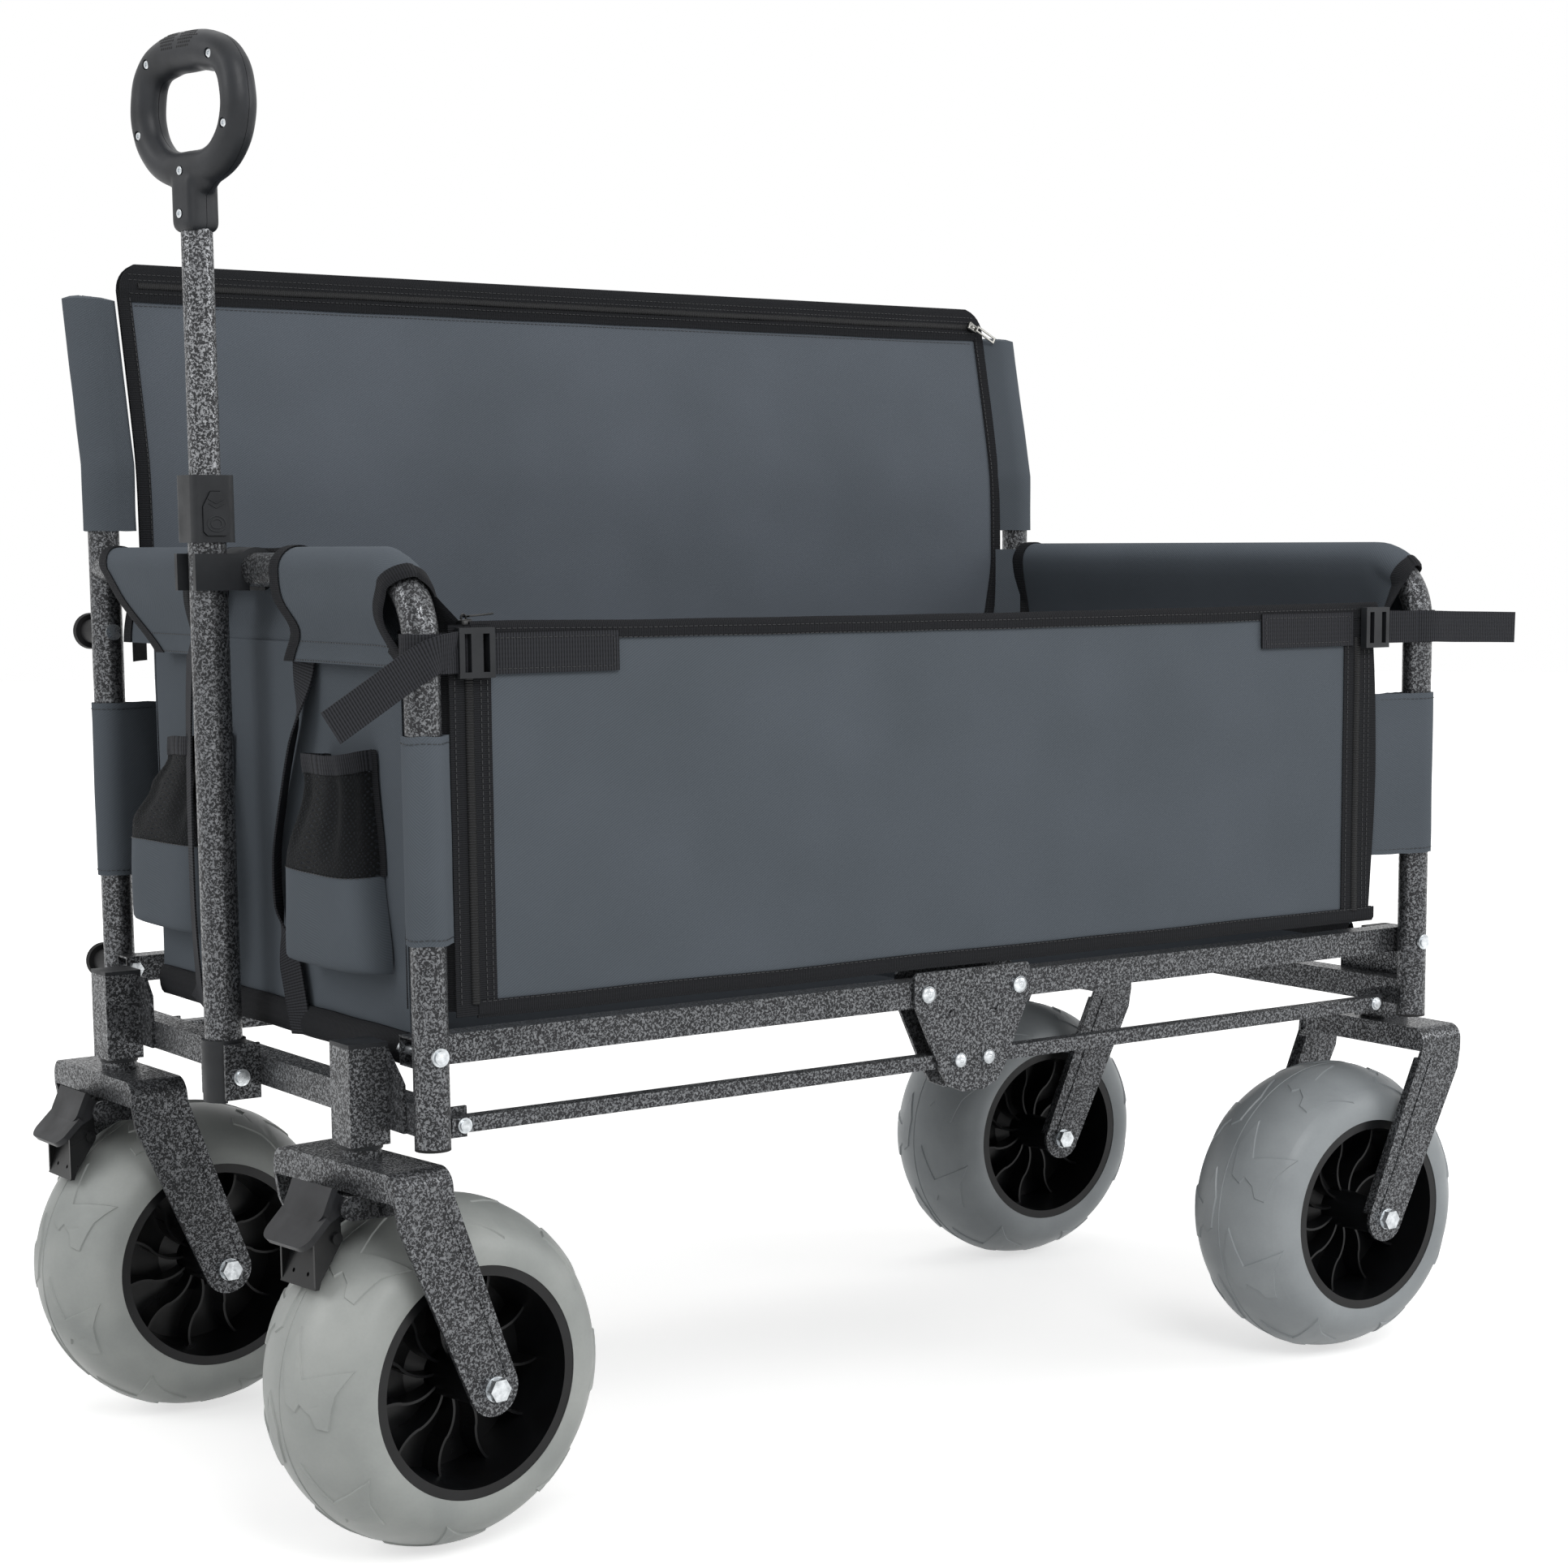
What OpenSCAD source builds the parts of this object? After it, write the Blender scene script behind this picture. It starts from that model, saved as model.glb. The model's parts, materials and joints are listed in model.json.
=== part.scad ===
// Folding wagon bench with a telescopic pull handle.
// +X runs from the handle end to the rear, -Y is the low side that drops, +Y is the backrest side.
// Z = 0 is the ground. All modules are drawn about the middle of the chassis, and the last block
// moves them to the middle of the outline.

/* [Chassis] */
// Distance from the front legs to the rear legs
leg_span = 954; // [900:2:1000]
// Distance from the near legs to the far posts
leg_gap = 554; // [540:2:580]
// Outer diameter of the frame tubes
tube_d = 25; // [22:0.5:25]
// Wall of all round tubes
tube_wall = 1.5; // [1.2:0.1:2]
// Height of the lower ends of the legs
leg_foot_z = 300; // [296:1:304]
// Height of the top bars
top_bar_z = 692; // [680:1:710]
// Centre-line radius of the bend from a near leg into its top bar
bend_r = 50; // [40:1:60]
// Height at which the far posts kink backward
kink_z = 775; // [760:1:800]
// Length of a post above its kink
post_tip = 132; // [110:1:150]
// Backward lean of the backrest
lean_deg = 12; // [8:1:16]

/* [Rails] */
// Height of the upper rail pivots
rail_z = 364; // [362:1:366]
// Height of an upper rail
rail_h = 21; // [18:1:22]
// Width of an upper rail
rail_w = 20; // [18:1:20]
// Half distance between the upper pivots of a centre bracket
hub_half = 45; // [42:1:50]
// Distance of a lower rail pivot behind the leg
link_dx = 31; // [28:1:34]
// Height of the lower rail pivots
link_z = 309.5; // [306:0.5:312]
// Height of a lower rail
link_h = 11; // [9:1:12]
// Width of a lower rail
link_w = 12; // [10:1:12]

/* [Wheels] */
// Outer radius of a tyre
tyre_r = 126; // [120:1:128]
// Width of a tyre
tyre_w = 115; // [100:1:118]
// Radius of the hub where the tyre sits
rim_r = 80; // [74:1:82]
// Distance of the wheels from the middle plane
wheel_y = 220; // [214:1:224]
// Distance of the caster axes in front of the front legs
caster_out = 26; // [26:0.5:30]
// Trail of the front wheels behind their caster axes
front_trail = 54; // [48:1:60]
// Trail of the rear wheels behind the middle of their forks
rear_trail = 65; // [58:1:70]
// Turn of the near front caster as it stands
near_caster_turn = 7; // [0:1:12]
// Turn of the far front caster as it stands
far_caster_turn = 2; // [0:1:12]

/* [Handle] */
// Distance of the handle tube in front of the front legs
handle_out = 30; // [30:0.5:32]
// Diameter of the lower handle tube
lower_d = 28; // [27:0.5:28]
// Diameter of the upper handle tube
upper_d = 23; // [22:0.5:23.5]
// Height of the handle's pivot
handle_pivot_z = 315; // [314:0.5:318]
// Height of the lower end of the grip
grip_z = 935; // [920:1:950]
// Turn of the grip about the tube as it stands
grip_turn = 12; // [0:1:20]

/* [Fabric] */
// Thickness of the fabric walls
cloth = 3; // [2:0.5:4]
// Height of the lower edge of the side walls
wall_bottom_z = 388; // [386:1:392]
// Height of the upper edge of the near wall
wall_top_z = 659; // [640:1:670]
// Height of the top of the backrest
back_top_z = 941; // [925:1:950]
// Thickness of the padded floor
floor_t = 16; // [12:1:16]

/* [Hidden] */
$fn = 64;

near = -1;
far = 1;
front = -1;
rear = 1;
eps = 0.01;
running = 0.05;           // radial clearance of everything that turns or slides

leg_x = leg_span / 2;
leg_y = leg_gap / 2;
tube_r = tube_d / 2;
cross_half = 11;          // half size of the square lower crossbars
cross_z = 319;            // height of their axis
cross_wall = 2;

housing_half = 15;        // caster housings: square tube
housing_z0 = 297;
housing_z1 = 366;
stem_r = 10;
bush_flange = 3;
gusset_t = 2.5;
gusset_half = 40;
gusset_z1 = 364;

fork_top_z = 288;
fork_front = 24;          // fork channel in front of its axis
fork_back = 22;           // and behind it
fork_half = 76.5;         // half length along the wheel's axle
fork_t = 3;
fork_skirt = 20;
fork_end_r = 20;
axle_r = 5;
hub_boss = 69;            // half length of a hub's boss
hub_boss_r = 17;

rail_y0 = leg_y - tube_r - 0.5 - rail_w;    // inner face of the upper rails
rail_y1 = rail_y0 + rail_w;                 // outer face of all rails
link_y0 = rail_y1 - link_w;
plate_t = 3;
plate_gap = 0.3;
pin_r = 4;
link_pin_r = 3;
rail_wall = 1.5;

floor_end = 36;           // floor edge to the leg plane
floor_mid = 5;            // floor edge to the middle
floor_half_w = rail_y0 - plate_gap - plate_t - 1.7;
floor_top_z = rail_z + 2;

caster_x = -leg_x - caster_out;
rear_fork_x = leg_x + caster_out - 7;
handle_x = -leg_x - handle_out;
pivot_x = handle_x + 3;
foot_r = 16.5;
collar_z0 = 712;
collar_z1 = 761;
collar_half = 17;
lower_top_z = 745;
upper_foot_z = 561;
clip_z0 = 677;
clip_z1 = 704;

strap_z = 637;            // middle of the webbing that ties the near wall to the legs
strap_h = 27;
sleeve_z0 = 440;
sleeve_z1 = 582;
post_sleeve_z0 = 722;
wall_x0 = -leg_x + 32;    // ends of the near wall
wall_x1 = leg_x - 47;
back_half = leg_x - 31;   // half width of the backrest panel

steel = "#4a4b4d";
zinc = "#c9ccd0";
black = "#2a2b2d";
grey_cloth = "#5d6266";
tyre_grey = "#9c9f9e";

// ---------------------------------------------------------------- helpers

module block(lo, hi) translate(lo) cube(hi - lo);

// Moves children drawn for the front leg plane (+X inward) to one end.
module at_end(end) {
    if (end == front) translate([-leg_x, 0, 0]) children();
    else mirror([1, 0, 0]) translate([-leg_x, 0, 0]) children();
}

module both_sides() {
    children();
    mirror([0, 1, 0]) children();
}

// Cylinder along Y from y0 to y1
module rod_y(x, y0, y1, z, r) translate([x, y0, z]) rotate([-90, 0, 0]) cylinder(r = r, h = y1 - y0);

// Hex prism along Y
module hex_y(x, y0, y1, z, across) translate([x, y0, z]) rotate([-90, 0, 0])
    cylinder(d = across / cos(30), h = y1 - y0, $fn = 6);

// Pan-head bolt along Y with a hex nut on its inner end; the head looks toward -Y
module bolt_y(x, y0, y1, z, r, head_r = 6.5) {
    rod_y(x, y0, y1, z, r);
    rod_y(x, y0 - 2.2, y0, z, head_r);
    rod_y(x, y0 - 3.6, y0 - 2.2 + eps, z, head_r * 0.72);
    hex_y(x, y1 - 4, y1, z, 2.4 * r + 3);
}

// ---------------------------------------------------------------- end frames

mitre = 6;                // overlap that the mitre of the post cuts away
// Tall far post: upright tube and a leaning tip, welded at a mitre
module post(r) {
    difference() {
        translate([0, leg_y, leg_foot_z]) cylinder(r = r, h = kink_z + mitre - leg_foot_z);
        at_kink(lean_deg / 2) translate([-30, -30, 0]) cube([60, 60, 40]);
    }
    difference() {
        at_kink(lean_deg) translate([0, 0, -mitre]) cylinder(r = r, h = post_tip + mitre);
        at_kink(lean_deg / 2) translate([-30, -30, -40]) cube([60, 60, 40]);
    }
}
module at_kink(lean) translate([0, leg_y, kink_z]) rotate([-lean, 0, 0]) children();

// Near leg, bend and top bar
module hoop(r) {
    translate([0, -leg_y, leg_foot_z]) cylinder(r = r, h = top_bar_z - bend_r - leg_foot_z);
    translate([0, -leg_y + bend_r, top_bar_z - bend_r]) rotate([0, -90, 0]) rotate([0, 0, -90])
        rotate_extrude(angle = 90) translate([bend_r, 0]) circle(r = r);
    rod_y(0, -leg_y + bend_r, leg_y, top_bar_z, r);
}

// Tab that carries a lower rail, on the inner side of the rail
module link_tab() difference() {
    block([cross_half - 1, -link_y0 + plate_gap, link_z - 11],
          [link_dx + 9, -link_y0 + plate_gap + plate_t, link_z + 11]);
    rod_y(link_dx, -leg_y, 0, link_z, link_pin_r);
}

// Far post with the bores of the rail bolt and of the rubber feet
module post_shape() difference() {
    post(tube_r);
    post(tube_r - tube_wall);
    translate([0, leg_y, leg_foot_z - 1]) cylinder(r = tube_r - tube_wall, h = 2);
    at_kink(lean_deg) translate([0, 0, post_tip - 1])
        cylinder(r = tube_r - tube_wall, h = 2);
    for (z = [rail_z, high_foot_z]) rod_y(0, leg_y - 20, leg_y + 20, z, pin_r);
}

// Near leg and top bar, coped against the post
module hoop_shape() difference() {
    hoop(tube_r);
    hoop(tube_r - tube_wall);
    translate([0, -leg_y, leg_foot_z - 1]) cylinder(r = tube_r - tube_wall, h = 2);
    translate([0, leg_y, top_bar_z - 30]) cylinder(r = tube_r + eps, h = 60);
    rod_y(0, -leg_y - 20, -leg_y + 20, rail_z, pin_r);
}

// Square crossbar between the legs with the tabs of the lower rails
module crossbar_shape() {
    difference() {
        block([-cross_half, -leg_y, cross_z - cross_half], [cross_half, leg_y, cross_z + cross_half]);
        block([cross_wall - cross_half, -leg_y - 1, cross_z - cross_half + cross_wall],
              [cross_half - cross_wall, leg_y + 1, cross_z + cross_half - cross_wall]);
        both_sides() translate([0, -leg_y, leg_foot_z - 10]) cylinder(r = tube_r + eps, h = 60);
    }
    both_sides() link_tab();
}

// Plates that hold the handle's foot
bracket_in = 19.5;
bracket_t = 3;
bracket_z0 = 298;
bracket_z1 = 340;
module handle_plates() difference() {
    for (y = [-bracket_in - bracket_t, bracket_in])
        block([-39, y, bracket_z0], [-cross_half + eps, y + bracket_t, bracket_z1]);
    rod_y(pivot_x + leg_x, -40, 40, handle_pivot_z, pin_r);
}

// Plate that joins a housing to the front face of its crossbar
module gusset() translate([-cross_half - gusset_t, 0, 0]) rotate([90, 0, 90])
    linear_extrude(gusset_t) polygon([
        [-gusset_half, cross_z - cross_half],
        [gusset_half, cross_z - cross_half],
        [gusset_half, gusset_z1 - 14],
        [gusset_half - 12, gusset_z1],
        [-16, gusset_z1],
        [-gusset_half + 4, gusset_z1 - 18],
        [-gusset_half, gusset_z1 - 22]
    ]);

// Square housing of a swivel stem with its gusset, drawn at the near side
module housing_shape(bore) {
    difference() {
        union() {
            block([-caster_out - housing_half, -wheel_y - housing_half, housing_z0],
                  [-caster_out + housing_half, -wheel_y + housing_half, housing_z1]);
            translate([0, -wheel_y, 0]) gusset();
        }
        translate([-caster_out, -wheel_y, housing_z0 - 1])
            cylinder(r = bore, h = housing_z1 - housing_z0 + 2);
        block([-caster_out - 4, -wheel_y - housing_half - 1, housing_z0 + 12],
              [-caster_out + 1, -wheel_y - housing_half + 1, housing_z0 + 17]);
    }
}

bush_r = 12.5;
module front_hoop() color(steel) at_end(front) hoop_shape();
module front_post() color(steel) at_end(front) post_shape();
module front_crossbar() color(steel) at_end(front) {
    crossbar_shape();
    handle_plates();
}
module rear_hoop() color(steel) at_end(rear) hoop_shape();
module rear_post() color(steel) at_end(rear) post_shape();
module rear_crossbar() color(steel) at_end(rear) crossbar_shape();
module front_caster_housings() color(steel) at_end(front) both_sides() housing_shape(bush_r);

// Top cap and lower flange bush of each caster housing
module caster_bushes() color(black) for (side = [near, far]) translate([caster_x, side * wheel_y, 0]) {
    difference() {
        union() {
            translate([0, 0, housing_z0]) cylinder(r = bush_r, h = housing_z1 - housing_z0);
            translate([0, 0, housing_z0 - bush_flange]) cylinder(r = housing_half, h = bush_flange);
            block([-housing_half, -housing_half, housing_z1], [housing_half, housing_half, housing_z1 + 3]);
        }
        translate([0, 0, housing_z0 - bush_flange - 1])
            cylinder(r = stem_r + running, h = housing_z1 - housing_z0);
    }
}

// Bolts of the rails on one end frame and of the rubber feet on its post
high_foot_z = 640;
foot_stud = leg_y + tube_r + 12;
module pivot_bolts(end) at_end(end) {
    both_sides() bolt_y(link_dx, -rail_y1, plate_gap + plate_t + 4 - link_y0, link_z, link_pin_r, 5.5);
    bolt_y(0, -leg_y - tube_r, plate_gap + 4 - rail_y0, rail_z, pin_r);
    mirror([0, 1, 0]) rod_y(0, -foot_stud, plate_gap + 4 - rail_y0, rail_z, pin_r);
    mirror([0, 1, 0]) hex_y(0, plate_gap - rail_y0, plate_gap + 4 - rail_y0, rail_z, 11);
    rod_y(0, leg_y - tube_r, foot_stud, high_foot_z, pin_r);
    rod_y(0, leg_y - tube_r - 2, leg_y - tube_r, high_foot_z, 6.5);
}
module front_pivot_bolts() color(zinc) {
    pivot_bolts(front);
    bolt_y(pivot_x, -bracket_in - bracket_t, bracket_in + bracket_t + 4, handle_pivot_z, pin_r);
}
module rear_pivot_bolts() color(zinc) pivot_bolts(rear);

// Plugs of the tube ends and rubber feet on the back of the far post
module end_caps(end) color(black) at_end(end) {
    for (side = [near, far]) translate([0, side * leg_y, leg_foot_z - 2]) {
        cylinder(r = tube_r, h = 2);
        cylinder(r = tube_r - tube_wall, h = 10);
    }
    at_kink(lean_deg) translate([0, 0, post_tip]) {
        cylinder(r = tube_r, h = 2);
        translate([0, 0, -8]) cylinder(r = tube_r - tube_wall, h = 8);
    }
    for (z = [rail_z, high_foot_z]) rubber_foot(z);
}

// Domed foot on a stem that fits the back of the post
module rubber_foot(z) difference() {
    translate([0, leg_y, z]) rotate([-90, 0, 0]) {
        cylinder(r = 10, h = tube_r + 20);
        translate([0, 0, tube_r + 20]) cylinder(r1 = 14, r2 = 15, h = 4);
        translate([0, 0, tube_r + 24]) rotate_extrude() intersection() {
            translate([0, -4]) circle(r = 15.52);
            square([20, 20]);
        }
    }
    translate([0, leg_y, z - 20]) cylinder(r = tube_r + eps, h = 40);
    rod_y(0, leg_y, foot_stud, z, pin_r);
}
module front_end_caps() end_caps(front);
module rear_end_caps() {
    end_caps(rear);
    color(black) for (side = [near, far])
        translate([leg_x + cross_half + housing_half, side * wheel_y, housing_z1])
            block([-housing_half, -housing_half, 0], [housing_half, housing_half, 3]);
}

// ---------------------------------------------------------------- handle

module lower_handle_tube() color(steel) difference() {
    translate([handle_x, 0, handle_pivot_z - 9])
        cylinder(r = lower_d / 2, h = lower_top_z - handle_pivot_z + 9);
    translate([handle_x, 0, handle_pivot_z - 10])
        cylinder(r = lower_d / 2 - tube_wall, h = lower_top_z - handle_pivot_z + 11);
    rod_y(pivot_x, -30, 30, handle_pivot_z, pin_r + running);
}

// Plastic shoe round the lower end, rounded under the pivot so that it turns clear of the crossbar
module handle_foot() color(black) difference() {
    intersection() {
        translate([handle_x, 0, 295]) cylinder(r = foot_r, h = 342 - 295);
        union() {
            block([handle_x - 20, -20, handle_pivot_z], [handle_x + 20, 20, 345]);
            block([handle_x - 20, -20, 294], [pivot_x - 8, 20, handle_pivot_z + 1]);
            rod_y(pivot_x, -20, 20, handle_pivot_z, foot_r - 3);
        }
    }
    translate([handle_x, 0, handle_pivot_z - 9]) cylinder(r = lower_d / 2, h = 60);
    rod_y(pivot_x, -30, 30, handle_pivot_z, pin_r + running);
}

button_w = 20;
button_z0 = 717;
button_z1 = 749;
button_in = 14.6;
button_out = 18.4;
module button_outline(grow) polygon([
    [-button_w / 2 - grow, button_z0 + 3],
    [-button_w / 2 + 3, button_z0 - grow],
    [button_w / 2 - 3, button_z0 - grow],
    [button_w / 2 + grow, button_z0 + 3],
    [button_w / 2 + grow, button_z1 - 11],
    [4, button_z1 + grow],
    [-4, button_z1 + grow],
    [-button_w / 2 - grow, button_z1 - 11]
]);

module handle_collar() color(black) difference() {
    translate([handle_x, 0, collar_z0]) linear_extrude(collar_z1 - collar_z0) collar_outline();
    translate([handle_x, 0, collar_z0 - 1]) cylinder(r = lower_d / 2, h = lower_top_z - collar_z0 + 1);
    translate([handle_x, 0, collar_z0]) cylinder(r = upper_d / 2 + running, h = 80);
    translate([handle_x, -button_in, 0]) rotate([90, 0, 0]) linear_extrude(20) button_outline(0.4);
}
collar_corner = 7;
module collar_outline() {
    square([2 * collar_half, 2 * (collar_half - collar_corner)], center = true);
    square([2 * (collar_half - collar_corner), 2 * collar_half], center = true);
    for (sx = [-1, 1], sy = [-1, 1])
        translate([sx, sy] * (collar_half - collar_corner)) circle(r = collar_corner);
}

module release_button() color("#333436")
    translate([handle_x, -button_in - 2, 0]) rotate([90, 0, 0]) linear_extrude(button_out - button_in - 2)
        button_outline(0);

grip_tube_top = 976;
module upper_handle_tube() color(steel) difference() {
    translate([handle_x, 0, upper_foot_z]) cylinder(r = upper_d / 2, h = grip_tube_top - upper_foot_z);
    translate([handle_x, 0, upper_foot_z - 1])
        cylinder(r = upper_d / 2 - tube_wall, h = grip_tube_top - upper_foot_z + 2);
}

// C-clip on the top bar with open jaws for the handle tube
clip_half = 19;
module handle_clip() color(black) difference() {
    union() {
        rod_y(-leg_x, -clip_half, clip_half, top_bar_z, tube_r + 4);
        block([handle_x - 18, -clip_half, clip_z0], [-leg_x - 3, clip_half, clip_z1]);
    }
    rod_y(-leg_x, -30, 30, top_bar_z, tube_r);
    block([handle_x - 30, -lower_d / 2 - 0.3, clip_z0 - 1], [handle_x, lower_d / 2 + 0.3, clip_z1 + 1]);
    translate([handle_x, 0, clip_z0 - 1]) cylinder(r = lower_d / 2 + 0.3, h = 60);
    block([-leg_x - 6, -30, clip_z0 - 30], [-leg_x + 6, 30, top_bar_z - tube_r + 2]);
}

// Ring grip: an oval loop of round section on a square neck, in two half shells
grip_r = 14;
grip_half_w = 48;
grip_lo = grip_z + 40;
grip_hi = grip_z + 129;
grip_corner = 40;
grip_wall = 3;
module grip_loop(r) {
    for (y = [-1, 1]) translate([0, y * grip_half_w, grip_lo + grip_corner])
        cylinder(r = r, h = grip_hi - grip_lo - 2 * grip_corner);
    for (z = [grip_lo, grip_hi])
        rod_y(0, grip_corner - grip_half_w, grip_half_w - grip_corner, z, r);
    for (q = [0:3]) translate([0, (q == 0 || q == 3 ? 1 : -1) * (grip_half_w - grip_corner),
                               q < 2 ? grip_hi - grip_corner : grip_lo + grip_corner])
        rotate([90 * q, 0, 0]) rotate([90, 0, 90])
            rotate_extrude(angle = 90) translate([grip_corner, 0]) circle(r = r);
}

module grip_shape() difference() {
    union() {
        grip_loop(grip_r);
        block([-15, -16, grip_z], [15, 16, grip_lo]);
    }
    grip_loop(grip_r - grip_wall);
    translate([0, 0, grip_z - 1]) cylinder(r = upper_d / 2, h = grip_tube_top - grip_z + 1);
    for (p = grip_screw_places) screw_hole(p);
}
// Screws in Y and Z: two in the neck, one in each side and one at each upper corner
grip_screw_places = [[0, grip_z + 12], [0, grip_z + 30],
                     [-grip_half_w, grip_z + 66], [grip_half_w, grip_z + 66],
                     [-grip_half_w + 12, grip_z + 115], [grip_half_w - 12, grip_z + 115]];
module screw_hole(p) translate([0, p[0], p[1]]) rotate([0, 90, 0]) {
    translate([0, 0, -16]) cylinder(r = 3.4, h = p[0] == 0 ? 3 : 6);
    translate([0, 0, -16]) cylinder(r = 1.5, h = p[0] == 0 ? 4.4 : 29);
}

module grip_place() translate([handle_x, 0, 0]) rotate([0, 0, grip_turn]) children();

module grip_front_shell() color(black) grip_place() intersection() {
    grip_shape();
    block([-40, -90, grip_z - 5], [0, 90, grip_z + 200]);
}
module grip_rear_shell() color(black) grip_place() intersection() {
    grip_shape();
    block([0, -90, grip_z - 5], [40, 90, grip_z + 200]);
}
module grip_screws() color(zinc) grip_place() for (p = grip_screw_places) {
    head_x = p[0] == 0 ? -15 : -12;
    translate([head_x, p[0], p[1]]) rotate([0, 90, 0]) cylinder(r = 3, h = 2);
    translate([head_x + 1, p[0], p[1]]) rotate([0, 90, 0]) cylinder(r = 1.5, h = p[0] == 0 ? 2.3 : 23);
}

// ---------------------------------------------------------------- forks, brakes and wheels

// Ends of the rear edge of a fork leg, in X and Z
function edge_top() = [fork_back + 2, fork_top_z - fork_skirt];
function edge_low(trail) = [trail, tyre_r] + fork_end_r * [cos(18), sin(18)];

// Side outline of the fork in X and Z: its wheel's axle is the trail behind the stem
module leg_outline(trail) {
    polygon([
        [-fork_front, fork_top_z + 1], [fork_back, fork_top_z + 1], edge_top(), edge_low(trail),
        2 * [trail, tyre_r] - edge_low(trail),
        [-fork_front + 3, fork_top_z - fork_skirt - 18], [-fork_front, fork_top_z - fork_skirt]
    ]);
    translate([trail, tyre_r]) circle(r = fork_end_r);
}

fork_bend = 12;
// Section of the fork across the wheel, in Y and Z, open at the bottom
module fork_section(inset) {
    half = fork_half - inset;
    bend = fork_bend - inset;
    top = fork_top_z - inset;
    translate([-half, 90]) square([2 * half, top - bend - 90]);
    translate([bend - half, 90]) square([2 * (half - bend), top - 90]);
    for (s = [-1, 1]) translate([s * (half - bend), top - bend]) circle(r = bend);
}
module fork_core(inset) translate([-60, 0, 0]) rotate([90, 0, 90]) linear_extrude(160) fork_section(inset);

// Strip parallel to the rear edge of a fork leg, between two distances from it
module rear_strip(trail, d0, d1) {
    top = edge_top();
    low = edge_low(trail);
    polygon([top - [d0, 6], low - [d0, 0], low - [d1, 0], top - [d1, 6]]);
}

// Pressed fork: channel over the wheel and two slanting legs, with the stem axis at the origin
module fork_shape(trail) difference() {
    intersection() {
        fork_core(0);
        union() {
            difference() {
                translate([0, fork_half + 1, 0]) rotate([90, 0, 0])
                    linear_extrude(2 * fork_half + 2) leg_outline(trail);
                fork_core(fork_t);
            }
            for (x = [-fork_front, fork_back - fork_t])
                block([x, -fork_half - 1, fork_top_z - fork_skirt],
                      [x + fork_t, fork_half + 1, fork_top_z + 1]);
            // folded lip along the rear edge of each leg
            both_sides() translate([0, 10 - fork_half, 0]) rotate([90, 0, 0]) linear_extrude(11)
                rear_strip(trail, 0.4, 3.5);
        }
    }
    // pressed groove beside that edge
    both_sides() translate([0, 0.8 - fork_half, 0]) rotate([90, 0, 0])
        linear_extrude(2) rear_strip(trail, 8, 12);
    rod_y(trail, -fork_half - 5, fork_half + 5, tyre_r, axle_r);
}

// Axle with its washers, hex head and nut, at a fork whose stem axis is the origin
module axle_shape(trail) {
    rod_y(trail, -fork_half - 2, fork_half + 2, tyre_r, axle_r);
    for (s = [-1, 1]) rod_y(trail, s * (fork_half + 1) - 1, s * (fork_half + 1) + 1, tyre_r, 9);
    hex_y(trail, -fork_half - 8, -fork_half - 2, tyre_r, 15);
    hex_y(trail, fork_half + 2, fork_half + 8, tyre_r, 15);
    for (s = [-1, 1]) difference() {
        rod_y(trail, s * 71.2 - 1.8, s * 71.2 + 1.8, tyre_r, 9);
        rod_y(trail, s * 71.2 - 3, s * 71.2 + 3, tyre_r, axle_r - 1);
    }
}

// Places children of one caster, turned as it stands
module at_caster(side) translate([caster_x, side * wheel_y, 0])
    rotate([0, 0, side == near ? near_caster_turn : far_caster_turn]) children();

module caster_fork(side) color(steel) at_caster(side) {
    fork_shape(front_trail);
    translate([0, 0, fork_top_z]) cylinder(r = stem_r, h = housing_z1 - fork_top_z - 6);
    translate([0, 0, fork_top_z]) cylinder(r = stem_r + 4, h = housing_z0 - bush_flange - fork_top_z - 0.3);
}
module near_caster_fork() caster_fork(near);
module far_caster_fork() caster_fork(far);
module near_front_axle() color(zinc) at_caster(near) axle_shape(front_trail);
module far_front_axle() color(zinc) at_caster(far) axle_shape(front_trail);

module at_rear_fork(side) translate([rear_fork_x, side * wheel_y, 0]) mirror([1, 0, 0]) children();

// Fixed rear forks, each with a square post welded to the rear crossbar
module rear_forks() color(steel) {
    for (side = [near, far]) {
        at_rear_fork(side) fork_shape(rear_trail);
        translate([0, side * wheel_y, 0])
            block([leg_x + cross_half, -housing_half, fork_top_z],
                  [leg_x + cross_half + 2 * housing_half, housing_half, housing_z1]);
    }
    at_end(rear) both_sides() translate([0, -wheel_y, 0]) gusset();
}
module rear_axles() color(zinc) for (side = [near, far]) at_rear_fork(side) axle_shape(rear_trail);

// Brake bracket: two painted ears under the fork channel, with the pedal's pin and a rivet through them
ear_y = 33;
ear_t = 2.5;
ear_r = 8.5;
brake_x = -fork_front - 5;
brake_z = 260;
module ear_outline() {
    translate([brake_x, brake_z]) circle(r = ear_r);
    polygon([
        [brake_x, brake_z - ear_r], [6, brake_z - 10], [9, brake_z - 7], [9, fork_top_z - fork_t],
        [5 - fork_front, fork_top_z - fork_t], [5 - fork_front, fork_top_z - fork_skirt - 0.5],
        [brake_x, fork_top_z - fork_skirt - 0.5]
    ]);
}
module brake_bracket(side) color(steel) at_caster(side) {
    for (y = [-ear_y, ear_y - ear_t]) translate([0, y + ear_t, 0]) rotate([90, 0, 0])
        linear_extrude(ear_t) ear_outline();
    rod_y(brake_x, -ear_y - 3, ear_y + 3, brake_z, link_pin_r);
    rod_y(0, -ear_y, ear_y, brake_z - 3, 2.5);
    for (s = [-1, 1], place = [[brake_x, brake_z], [0, brake_z - 3]])
        rod_y(place[0], s * (ear_y + 1.5) - 1.5, s * (ear_y + 1.5) + 1.5, place[1], 5);
}
module near_brake_bracket() brake_bracket(near);
module far_brake_bracket() brake_bracket(far);

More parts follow.
